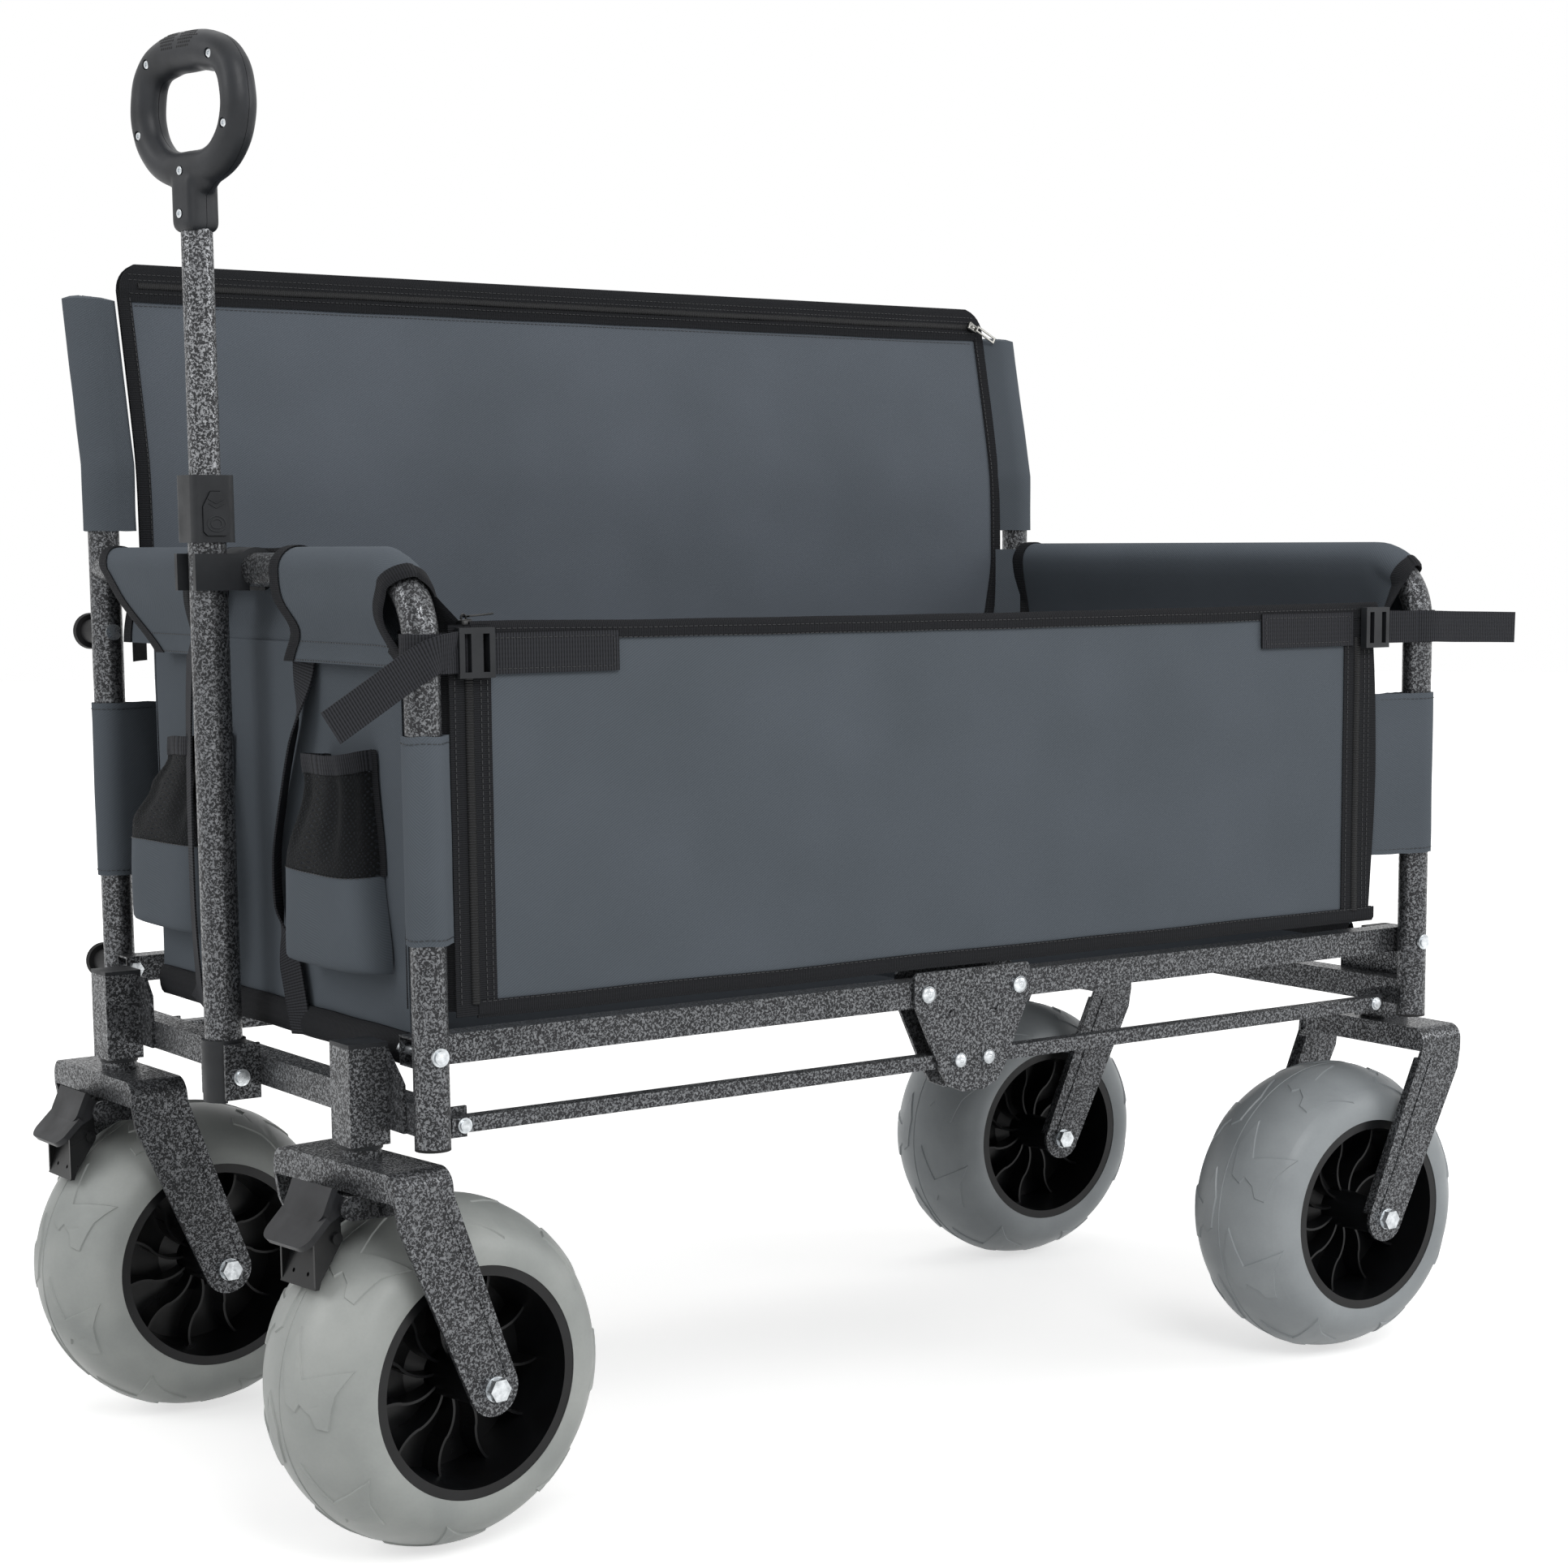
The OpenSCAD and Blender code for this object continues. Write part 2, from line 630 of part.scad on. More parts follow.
// Rocker pedal: an upper and a lower foot pad on arms from the pin, drawn about the pin
pedal_half = 29;
arm_half = 23;
module foot_pad(x, z, tilt, half_w, len, t, corner)
    translate([x, 0, z]) rotate([0, tilt, 0]) translate([-t, 0, 0])
    rotate([90, 0, 90]) linear_extrude(t) {
        translate([-half_w, -len + corner]) square([2 * half_w, len - corner]);
        translate([corner - half_w, -len]) square([2 * (half_w - corner), len]);
        for (s = [-1, 1]) translate([s * (half_w - corner), corner - len]) circle(r = corner);
    }
module pedal_arms(grow) translate([0, arm_half + grow, 0]) rotate([90, 0, 0])
    linear_extrude(2 * (arm_half + grow))
        polygon([[-1, 6.9], [-8, 12], [-17, -9], [-26, -18 - grow], [-22, -15 - grow], [-4, -5.5 - grow]]);
module at_pedal(side) at_caster(side) translate([brake_x, 0, brake_z]) children();
module brake_pedal(side) color(black) at_pedal(side) difference() {
    union() {
        rod_y(0, -pedal_half, pedal_half, 0, 6);
        pedal_arms(0);
        foot_pad(-7, 13, 24, 25, 25, 5, 7);
        foot_pad(-15, -8, 46, 28, 27, 5, 10);
    }
    rod_y(0, -pedal_half - 1, pedal_half + 1, 0, link_pin_r + running);
}
module near_brake_pedal() brake_pedal(near);
module far_brake_pedal() brake_pedal(far);

// Steel shoe under the pads: a plate in front of the tyre between two side cheeks, with its rivet
shoe_half = 22;
module brake_shoe(side) color(steel) at_pedal(side) difference() {
    union() {
        translate([0, shoe_half, 0]) rotate([90, 0, 0]) linear_extrude(2 * shoe_half)
            polygon([[-13, -18], [-10, -18], [-22, -55], [-25.5, -55], [-20, -38]]);
        for (y = [-shoe_half, shoe_half - 2]) translate([0, y + 2, 0]) rotate([90, 0, 0]) linear_extrude(2)
            polygon([[-4, -4], [-12, -9], [-24, -15], [-25, -19], [-25, -53], [-22, -52], [-3, -24]]);
        rod_y(-8, -shoe_half - 3, shoe_half + 3, -21, 2.5);
        for (s = [-1, 1]) rod_y(-8, s * (shoe_half + 1.5) - 1.5, s * (shoe_half + 1.5) + 1.5, -21, 4);
    }
    for (y = [-9, 9]) translate([-30, y, -46]) rotate([0, 90, 0]) cylinder(r = 1.5, h = 30);
    pedal_arms(eps);
    rod_y(0, -pedal_half - 1, pedal_half + 1, 0, 6 + eps);
    foot_pad(-15, -8, 46, 28, 27, 5 + eps, 10);
}
module near_brake_shoe() brake_shoe(near);
module far_brake_shoe() brake_shoe(far);

// Balloon tyre about its own axle (along Y)
shoulder_r = 26.5;
shoulder_y = tyre_w / 2 - shoulder_r;
crown_r = 75;
crown_x = tyre_r - crown_r;
crown_deg = asin(shoulder_y / (crown_r - shoulder_r));
shoulder_x = crown_x + shoulder_y / tan(crown_deg);
lip_r = rim_r + 3.5;
lip_y = 50;
lip_t = 6.5;
tyre_wall = 8;
module tyre_outline(inset) {
    intersection() {
        translate([crown_x, 0]) circle(r = crown_r - inset, $fn = 128);
        polygon([[crown_x, 0], [crown_x, 0] + 150 * [cos(crown_deg), sin(crown_deg)],
                 [crown_x, 0] + 150 * [cos(crown_deg), -sin(crown_deg)]]);
    }
    for (s = [-1, 1]) translate([shoulder_x, s * shoulder_y]) circle(r = shoulder_r - inset);
    polygon([[rim_r - 9, inset - 50], [106, inset - 46], [106, 46 - inset], [rim_r - 9, 50 - inset]]);
}
// The casing is open toward the rim, which closes it
module tyre_section() difference() {
    tyre_outline(0);
    tyre_outline(tyre_wall);
    square([2 * rim_r, 200], center = true);
    for (s = [-1, 1]) translate([0, s * (lip_y + 10)]) square([2 * lip_r, 20], center = true);
}
module tyre_shape() rotate([90, 0, 0]) rotate_extrude($fn = 96) tyre_section();

// Dished hub: barrel, lips, web, boss and S-shaped ribs on both faces
rib_count = 11;
module hub_shape() rotate([90, 0, 0]) difference() {
    union() {
        rotate_extrude($fn = 96) polygon([
            [rim_r - 4, -lip_y - lip_t], [lip_r, -lip_y - lip_t], [lip_r, -lip_y], [rim_r, -lip_y],
            [rim_r, lip_y], [lip_r, lip_y], [lip_r, lip_y + lip_t], [rim_r - 4, lip_y + lip_t],
            [rim_r - 5, lip_y - 4], [rim_r - 9, 6], [30, 8], [hub_boss_r, 14], [hub_boss_r - 2, hub_boss],
            [0, hub_boss], [0, -hub_boss], [hub_boss_r - 2, -hub_boss], [hub_boss_r, -14], [30, -8],
            [rim_r - 9, -6], [rim_r - 5, 4 - lip_y]
        ]);
        for (i = [0:rib_count - 1]) rotate([0, 0, i * 360 / rib_count]) for (m = [0, 1]) mirror([0, 0, m])
            linear_extrude(26) rib_outline();
    }
    translate([0, 0, -80]) cylinder(r = axle_r + running, h = 160);
}
rib_arc = 32;
rib_mid = (hub_boss_r + rim_r) / 2 - 3;
module rib_outline() {
    intersection() {
        rib_ring(rib_mid - rib_arc / 2, -rib_arc * 0.86);
        translate([hub_boss_r - 3, -3]) square([rib_mid - hub_boss_r + 3.5, rib_arc]);
    }
    intersection() {
        rib_ring(rib_mid + rib_arc / 2, rib_arc * 0.86);
        translate([rib_mid - 0.5, 3 - rib_arc]) square([rim_r - 5.5 - rib_mid, rib_arc]);
    }
}
module rib_ring(x, y) translate([x, y]) difference() {
    circle(r = rib_arc + 1);
    circle(r = rib_arc - 1);
}

module at_front_wheel(side) at_caster(side) translate([front_trail, 0, tyre_r]) children();
module at_rear_wheel(side) translate([rear_fork_x - rear_trail, side * wheel_y, tyre_r]) children();

module near_front_tyre() color(tyre_grey) at_front_wheel(near) tyre_shape();
module far_front_tyre() color(tyre_grey) at_front_wheel(far) tyre_shape();
module near_rear_tyre() color(tyre_grey) at_rear_wheel(near) tyre_shape();
module far_rear_tyre() color(tyre_grey) at_rear_wheel(far) tyre_shape();
module near_front_hub() color(black) at_front_wheel(near) hub_shape();
module far_front_hub() color(black) at_front_wheel(far) hub_shape();
module near_rear_hub() color(black) at_rear_wheel(near) hub_shape();
module far_rear_hub() color(black) at_rear_wheel(far) hub_shape();

// ---------------------------------------------------------------- rails, brackets and floor

module rail_tube(x0, x1, y0, y1, z, h, pins, r) difference() {
    block([x0, y0, z - h / 2], [x1, y1, z + h / 2]);
    block([x0 - 1, y0 + rail_wall, z - h / 2 + rail_wall], [x1 + 1, y1 - rail_wall, z + h / 2 - rail_wall]);
    for (x = pins) rod_y(x, y0 - 1, y1 + 1, z, r + running);
}

module upper_rails(end) color(steel) at_end(end) both_sides()
    rail_tube(-7, leg_x - hub_half + 9, -rail_y1, -rail_y0, rail_z, rail_h, [0, leg_x - hub_half], pin_r);
module lower_rails(end) color(steel) at_end(end) both_sides()
    rail_tube(link_dx - 9, leg_x - hub_half + link_dx + 9, -rail_y1, -link_y0, link_z, link_h,
              [link_dx, leg_x - hub_half + link_dx], link_pin_r);
module front_upper_rails() upper_rails(front);
module front_lower_rails() lower_rails(front);
module rear_upper_rails() upper_rails(rear);
module rear_lower_rails() lower_rails(rear);

// Pair of plates over the middle of each side
hub_top = 381;
module bracket_outline() polygon([
    [-54, hub_top], [54, hub_top], [57, hub_top - 3], [57, hub_top - 24], [32, 302], [24, 290], [10, 284],
    [-10, 284], [-24, 290], [-32, 302], [-57, hub_top - 24], [-57, hub_top - 3]
]);
link_mid = hub_half - link_dx;
module centre_brackets() color(steel) both_sides() difference() {
    for (y = [-rail_y1 - plate_gap - plate_t, -rail_y0 + plate_gap])
        translate([0, y + plate_t, 0]) rotate([90, 0, 0]) linear_extrude(plate_t) bracket_outline();
    for (x = [-hub_half, hub_half]) rod_y(x, -leg_y, 0, rail_z, pin_r);
    for (x = [-link_mid, link_mid]) rod_y(x, -leg_y, 0, link_z, link_pin_r);
}
module bracket_rivets() color(zinc) both_sides() {
    y0 = -rail_y1 - plate_gap - plate_t;
    y1 = -rail_y0 + plate_gap + plate_t;
    for (x = [-hub_half, hub_half]) {
        rod_y(x, y0, y1, rail_z, pin_r);
        rod_y(x, y0 - 2.4, y0, rail_z, 6.5);
        rod_y(x, y1, y1 + 1, rail_z, 6);
    }
    for (x = [-link_mid, link_mid]) {
        rod_y(x, y0, y1, link_z, link_pin_r);
        rod_y(x, y0 - 2.4, y0, link_z, 5.5);
        rod_y(x, y1, y1 + 1, link_z, 5);
    }
}

// Padded floor board, one half riding on each pair of upper rails
module floor_half(end) color("#3a3d41") at_end(end)
    block([floor_end, -floor_half_w, floor_top_z - floor_t], [leg_x - floor_mid, floor_half_w, floor_top_z]);
module front_floor() floor_half(front);
module rear_floor() floor_half(rear);

// ---------------------------------------------------------------- fabric

panel_out = 4;            // outer face of an end wall inboard of the leg axis
hem_z0 = 352;
flap_z0 = 628;
flap_r = tube_r + 1 + cloth;
panel_half = leg_y - tube_r - 4;
foot_half = rail_y0 - 6;  // its half width where the rails swing past

// End wall under the top bar, with the rolled hem at its foot
module end_wall(end) color(grey_cloth) at_end(end) {
    block([panel_out, -panel_half, 430], [panel_out + cloth, panel_half, flap_z0]);
    block([panel_out, -foot_half, 372], [panel_out + cloth, foot_half, 430]);
    block([panel_out - 2, -foot_half, hem_z0], [panel_out + cloth + 1, foot_half, 372]);
}
module front_end_panel() end_wall(front);
module rear_end_panel() end_wall(rear);

// Flap wrapped over the top bar from y0 to y1 and sewn to the end wall
module flap_shape(y0, y1) {
    difference() {
        union() {
            rod_y(0, y0, y1, top_bar_z, flap_r);
            block([-flap_r, y0, flap_z0 + 12], [panel_out + cloth, y1, top_bar_z]);
            block([-flap_r + 8, y0, flap_z0], [panel_out + cloth, y1, flap_z0 + 12]);
        }
        rod_y(0, y0 - 1, y1 + 1, top_bar_z, flap_r - cloth);
        block([-flap_r + cloth, y0 - 1, flap_z0 + 15], [panel_out, y1 + 1, top_bar_z]);
    }
}
flap_gap = 66;
flap_end = leg_y - bend_r - 1;
flap_far = leg_y - tube_r - 4;
module front_flaps() color(grey_cloth) at_end(front) {
    flap_shape(-flap_end, -flap_gap);
    flap_shape(flap_gap, flap_far);
}
module rear_flap() color(grey_cloth) at_end(rear) flap_shape(-flap_end, flap_far);

// Two pouches on the outside of the front wall
pocket_out = 29;
module front_pockets() color("#33363a") at_end(front) for (side = [[-214, -92], [58, 198]]) difference() {
    block([panel_out - pocket_out, side[0], 414], [panel_out, side[1], 566]);
    block([panel_out - pocket_out + cloth, side[0] + cloth, 414 + cloth],
          [panel_out - cloth, side[1] - cloth, 600]);
}

// Fabric tubes round the legs and posts, with the webbing loop of the near leg
module ring_sleeve(y, z0, z1) translate([0, y, z0]) difference() {
    cylinder(r = tube_r + 2.5, h = z1 - z0);
    translate([0, 0, -1]) cylinder(r = tube_r + 0.2, h = z1 - z0 + 2);
}
module sleeves(end) {
    for (side = [near, far]) {
        ring_sleeve(side * leg_y, sleeve_z0, sleeve_z1);
        block([tube_r + 1.5, side * leg_y - cloth / 2, sleeve_z0],
              [end == rear && side == near ? 40 : 24, side * leg_y + cloth / 2, sleeve_z1]);
    }
    ring_sleeve(leg_y, post_sleeve_z0, kink_z - 3);
    at_kink(lean_deg) translate([0, -leg_y, 0])
        ring_sleeve(leg_y, 3, post_tip + 6);
    strap_ring();
}
module front_sleeves() color(grey_cloth) at_end(front) {
    sleeves(front);
    translate([-tube_r - 1, -leg_y - 14, strap_z - strap_h / 2]) rotate([0, -32, 0])
        block([-74, -1, 4], [4, 1, strap_h + 2]);
}
module rear_sleeves() color(grey_cloth) at_end(rear) {
    sleeves(rear);
    block([-98, -leg_y - 15, strap_z - strap_h / 2], [-tube_r + 3, -leg_y - 13, strap_z + strap_h / 2]);
}

// Webbing round the near leg, wider inside where the leg starts to bend
module strap_ring() translate([0, -leg_y, strap_z - strap_h / 2]) difference() {
    cylinder(r = tube_r + 2.2, h = strap_h);
    translate([0, 0, -1]) cylinder(r = tube_r + 0.2, h = strap_h + 2);
    translate([0, 0, top_bar_z - bend_r - strap_z + strap_h / 2 - 1]) cylinder(r = tube_r + 1.2, h = strap_h);
}

// Near wall, which unzips and drops outward about its lower edge
wall_y = -leg_y - 1;
patch_l = 106;
module near_panel() color(grey_cloth) {
    block([wall_x0, wall_y - cloth / 2, wall_bottom_z], [wall_x1, wall_y + cloth / 2, wall_top_z]);
    // webbing sewn on at each end
    for (x = [wall_x0 + 14, wall_x1 - 24 - patch_l])
        block([x, wall_y - cloth / 2 - 2, strap_z - strap_h / 2],
              [x + patch_l, wall_y, strap_z + strap_h / 2]);
}
// Ladder buckle between a patch and the webbing loop, with two slots
module buckle(x) color(black) translate([x, wall_y - cloth / 2, strap_z]) difference() {
    block([0, -9, -17], [27, -2.05, 17]);
    block([4, -10, -13], [9, 0, 13]);
    block([18, -10, -13], [23, 0, 13]);
}
module front_buckle() buckle(wall_x0 - 9);
module rear_buckle() buckle(wall_x1 - 26);

// High far wall that is also the backrest
back_y = leg_y - 4;
module back_panel() color(grey_cloth) translate([-back_half, 0, 0]) rotate([90, 0, 90])
    linear_extrude(2 * back_half) polygon([
        [back_y, wall_bottom_z - 30], [back_y + cloth, wall_bottom_z - 30], [back_y + cloth, kink_z],
        [back_y + cloth + (back_top_z - kink_z) * tan(lean_deg), back_top_z],
        [back_y + (back_top_z - kink_z) * tan(lean_deg), back_top_z], [back_y, kink_z]
    ]);

// ---------------------------------------------------------------- all nodes

outline_shift = [0, -17, 0];
translate(outline_shift) {
    front_hoop();
    front_post();
    front_crossbar();
    front_caster_housings();
    caster_bushes();
    handle_clip();
    front_pivot_bolts();
    front_end_caps();
    front_end_panel();
    front_pockets();
    front_flaps();
    front_sleeves();
    lower_handle_tube();
    handle_foot();
    handle_collar();
    release_button();
    upper_handle_tube();
    grip_front_shell();
    grip_rear_shell();
    grip_screws();
    near_caster_fork();
    far_caster_fork();
    near_front_axle();
    far_front_axle();
    near_brake_bracket();
    far_brake_bracket();
    near_brake_pedal();
    far_brake_pedal();
    near_brake_shoe();
    far_brake_shoe();
    near_front_tyre();
    far_front_tyre();
    near_rear_tyre();
    far_rear_tyre();
    near_front_hub();
    far_front_hub();
    near_rear_hub();
    far_rear_hub();
    front_upper_rails();
    front_lower_rails();
    rear_upper_rails();
    rear_lower_rails();
    centre_brackets();
    bracket_rivets();
    front_floor();
    rear_floor();
    rear_hoop();
    rear_post();
    rear_crossbar();
    rear_forks();
    rear_axles();
    rear_pivot_bolts();
    rear_end_caps();
    rear_end_panel();
    rear_flap();
    rear_sleeves();
    near_panel();
    front_buckle();
    rear_buckle();
    back_panel();
}
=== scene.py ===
# Looks of a folding wagon bench: paint, plastic, tyres, fabric walls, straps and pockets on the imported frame.
import json
import math
import bpy
import bmesh
from mathutils.bvhtree import BVHTree
from mathutils import Matrix, Vector, noise

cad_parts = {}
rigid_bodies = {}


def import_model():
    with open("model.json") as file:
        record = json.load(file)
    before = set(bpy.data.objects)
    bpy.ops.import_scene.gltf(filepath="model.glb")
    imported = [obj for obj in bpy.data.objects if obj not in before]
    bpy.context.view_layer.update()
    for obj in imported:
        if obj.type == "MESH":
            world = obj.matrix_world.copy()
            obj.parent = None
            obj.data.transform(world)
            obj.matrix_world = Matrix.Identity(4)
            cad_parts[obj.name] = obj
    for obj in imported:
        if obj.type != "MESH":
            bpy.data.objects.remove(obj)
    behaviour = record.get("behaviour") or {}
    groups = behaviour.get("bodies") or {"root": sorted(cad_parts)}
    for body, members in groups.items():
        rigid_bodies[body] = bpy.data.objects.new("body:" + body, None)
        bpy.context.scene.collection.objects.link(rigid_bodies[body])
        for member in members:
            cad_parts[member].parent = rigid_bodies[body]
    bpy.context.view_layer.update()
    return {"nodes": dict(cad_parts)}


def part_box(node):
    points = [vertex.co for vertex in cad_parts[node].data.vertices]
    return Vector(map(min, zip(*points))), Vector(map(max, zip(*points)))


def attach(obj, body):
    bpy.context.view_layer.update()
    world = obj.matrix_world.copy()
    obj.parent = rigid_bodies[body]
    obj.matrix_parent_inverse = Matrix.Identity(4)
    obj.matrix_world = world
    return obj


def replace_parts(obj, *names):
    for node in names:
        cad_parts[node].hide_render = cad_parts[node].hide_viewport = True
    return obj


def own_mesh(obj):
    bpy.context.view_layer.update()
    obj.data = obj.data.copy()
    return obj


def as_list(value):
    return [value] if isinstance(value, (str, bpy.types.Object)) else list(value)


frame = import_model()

nodes = frame["nodes"]


# ------------------------------------------------------------------ places, all taken from the frame

def corners(node):
    low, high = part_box(node)
    return Vector(low) * 1000, Vector(high) * 1000


def middle_x(node):
    low, high = corners(node)
    return (low.x + high.x) / 2


hoop_low, hoop_high = corners("front_hoop")
post_low = corners("front_post")[0]
rear_high = corners("rear_hoop")[1]
wall_low, wall_high = corners("near_panel")
back_low, back_high = corners("back_panel")
TUBE_R = (hoop_high.x - hoop_low.x) / 2
FRONT = hoop_low.x + TUBE_R
REAR = rear_high.x - TUBE_R
NEAR = hoop_low.y + TUBE_R
FAR = post_low.y + TUBE_R
MID = (NEAR + FAR) / 2
BAR_Z = hoop_high.z - TUBE_R
BEND_R = 50.0
KINK_Z = 775.0
LEAN = math.radians(12)


def metres(x, y, z):
    return Vector((x, y, z)) / 1000


# ------------------------------------------------------------------ materials

def colour(code):
    parts = [int(code[i:i + 2], 16) / 255 for i in (1, 3, 5)]
    return [p / 12.92 if p <= 0.04045 else ((p + 0.055) / 1.055) ** 2.4 for p in parts] + [1.0]


class Finish:
    """A material and its node tree; add() puts in one node with its settings and links."""

    def __init__(self, name, **shader):
        self.material = bpy.data.materials.new(name)
        self.material.use_nodes = True
        self.tree = self.material.node_tree
        self.shader = self.tree.nodes["Principled BSDF"]
        self.output = self.tree.nodes["Material Output"]
        for socket, value in shader.items():
            self.shader.inputs[socket.replace("_", " ")].default_value = value

    def add(self, kind, links=None, **settings):
        node = self.tree.nodes.new(kind)
        inputs = settings.pop("inputs", {})
        for key, value in settings.items():
            setattr(node, key, value)
        for key, value in inputs.items():
            node.inputs[key].default_value = value
        for key, source in (links or {}).items():
            self.tree.links.new(source, node.inputs[key])
        return node

    def link(self, source, socket):
        self.tree.links.new(source, self.shader.inputs[socket])

    def ramp(self, source, stops):
        node = self.add("ShaderNodeValToRGB", {"Fac": source})
        band = node.color_ramp.elements
        while len(band) < len(stops):
            band.new(0.5)
        for element, (place, value) in zip(band, stops):
            element.position = place
            element.color = value
        return node

    def objects(self):
        place = self.add("ShaderNodeTexCoord")
        return self.add("ShaderNodeMapping", {"Vector": place.outputs["Object"]}).outputs["Vector"]

    def cloth_map(self, scale=(1, 1, 1), rotation=(0, 0, 0)):
        place = self.add("ShaderNodeTexCoord")
        return self.add("ShaderNodeMapping", {"Vector": place.outputs["UV"]},
                        inputs={"Scale": scale, "Rotation": rotation}).outputs["Vector"]

    def noise(self, vector, size_mm, detail=2.0, roughness=0.5, distortion=0.0):
        return self.add("ShaderNodeTexNoise", {"Vector": vector},
                        inputs={"Scale": 1000 / size_mm, "Detail": detail, "Roughness": roughness,
                                "Distortion": distortion}).outputs["Fac"]

    def bump(self, height, distance_mm, strength):
        return self.add("ShaderNodeBump", {"Height": height},
                        inputs={"Strength": strength, "Distance": distance_mm / 1000}).outputs["Normal"]

    def mix(self, factor, a, b):
        node = self.add("ShaderNodeMix", {"Factor": factor} if not isinstance(factor, float) else None,
                        data_type="RGBA")
        if isinstance(factor, float):
            node.inputs["Factor"].default_value = factor
        for socket, value in ((node.inputs[6], a), (node.inputs[7], b)):
            if isinstance(value, bpy.types.NodeSocket):
                self.tree.links.new(value, socket)
            else:
                socket.default_value = value
        return node.outputs[2]

    def maths(self, operation, *values):
        node = self.add("ShaderNodeMath", operation=operation)
        for socket, value in zip(node.inputs, values):
            if isinstance(value, bpy.types.NodeSocket):
                self.tree.links.new(value, socket)
            else:
                socket.default_value = value
        return node.outputs[0]


def hammertone(name, ground, fleck, crest):
    # Hammertone enamel, sprayed and baked on steel: silver flake gathers in worm-like flecks 2 mm long
    # on a near-black ground, and the surface is dimpled between them.
    f = Finish(name, Metallic=0.5, Roughness=0.38, IOR=1.5)
    space = f.objects()
    flecks = f.noise(space, 1.8, detail=0.8, roughness=0.5, distortion=0.9)
    tone = f.ramp(flecks, [(0.0, colour("#0d0e0f")), (0.48, colour(ground)), (0.56, colour(fleck)),
                           (1.0, colour(crest))])
    broad = f.noise(space, 60, detail=1.0)
    shade = f.ramp(broad, [(0.3, colour("#303134")), (0.7, colour("#48494c"))])
    f.link(f.mix(0.22, tone.outputs["Color"], shade.outputs["Color"]), "Base Color")
    f.link(f.bump(flecks, 0.35, 0.5), "Normal")
    f.link(f.ramp(flecks, [(0.4, [0.5] * 3 + [1]), (0.6, [0.27] * 3 + [1])]).outputs["Color"], "Roughness")
    return f.material


def zinc_plate():
    # Bright zinc plating on pressed steel: a cool, slightly cloudy metal with fine handling marks.
    f = Finish("zinc_plated_steel", Metallic=1.0, Roughness=0.3)
    space = f.objects()
    cloud = f.noise(space, 5, detail=3.0)
    f.link(f.ramp(cloud, [(0.3, colour("#a9adb0")), (0.7, colour("#dfe3e6"))]).outputs["Color"], "Base Color")
    f.link(f.ramp(cloud, [(0.3, [0.42] * 3 + [1]), (0.7, [0.2] * 3 + [1])]).outputs["Color"], "Roughness")
    f.link(f.bump(f.noise(space, 0.8, detail=2.0), 0.05, 0.4), "Normal")
    return f.material


def nickel_plate():
    # Nickel plating on a die-cast zip slider: warm grey metal, worn smooth on its edges.
    f = Finish("nickel_plated_zinc", Metallic=1.0, Roughness=0.26)
    f.shader.inputs["Base Color"].default_value = colour("#8d8c88")
    f.link(f.bump(f.noise(f.objects(), 1.4, detail=2.0), 0.04, 0.4), "Normal")
    return f.material


def moulded(name, dark, light, roughness, grain_mm=0.9, depth=0.06):
    # Injection-moulded ABS or nylon with a spark-eroded grain: even colour, soft sheen, rubbed spots.
    f = Finish(name, Roughness=roughness, IOR=1.5, Specular_IOR_Level=0.3)
    space = f.objects()
    rub = f.noise(space, 28, detail=4.0)
    f.link(f.ramp(rub, [(0.35, colour(dark)), (0.7, colour(light))]).outputs["Color"], "Base Color")
    gloss = f.ramp(rub, [(0.3, [roughness + 0.08] * 3 + [1]), (0.7, [roughness - 0.07] * 3 + [1])])
    f.link(gloss.outputs["Color"], "Roughness")
    f.link(f.bump(f.noise(space, grain_mm, detail=2.0), depth, 0.5), "Normal")
    return f.material


def tyre_rubber(name, dark, light):
    # Soft rubber, moulded in one piece with a smooth matt skin: pale grey, a broad soft sheen, and dust
    # held in a very fine pore.
    f = Finish(name, Roughness=0.42, IOR=1.45, Specular_IOR_Level=0.4)
    space = f.objects()
    blotch = f.noise(space, 70, detail=3.0)
    specks = f.noise(space, 2.5, detail=2.0)
    base = f.ramp(blotch, [(0.3, colour(dark)), (0.7, colour(light))])
    f.link(f.mix(f.maths("MULTIPLY", specks, 0.14), base.outputs["Color"], colour("#6d706f")), "Base Color")
    f.link(f.ramp(blotch, [(0.3, [0.5] * 3 + [1]), (0.7, [0.36] * 3 + [1])]).outputs["Color"], "Roughness")
    f.link(f.bump(f.noise(space, 1.2, detail=2.0), 0.05, 0.35), "Normal")
    return f.material


WAVE_MM = 314.16          # Scale of a Wave texture whose bands are 1 mm apart


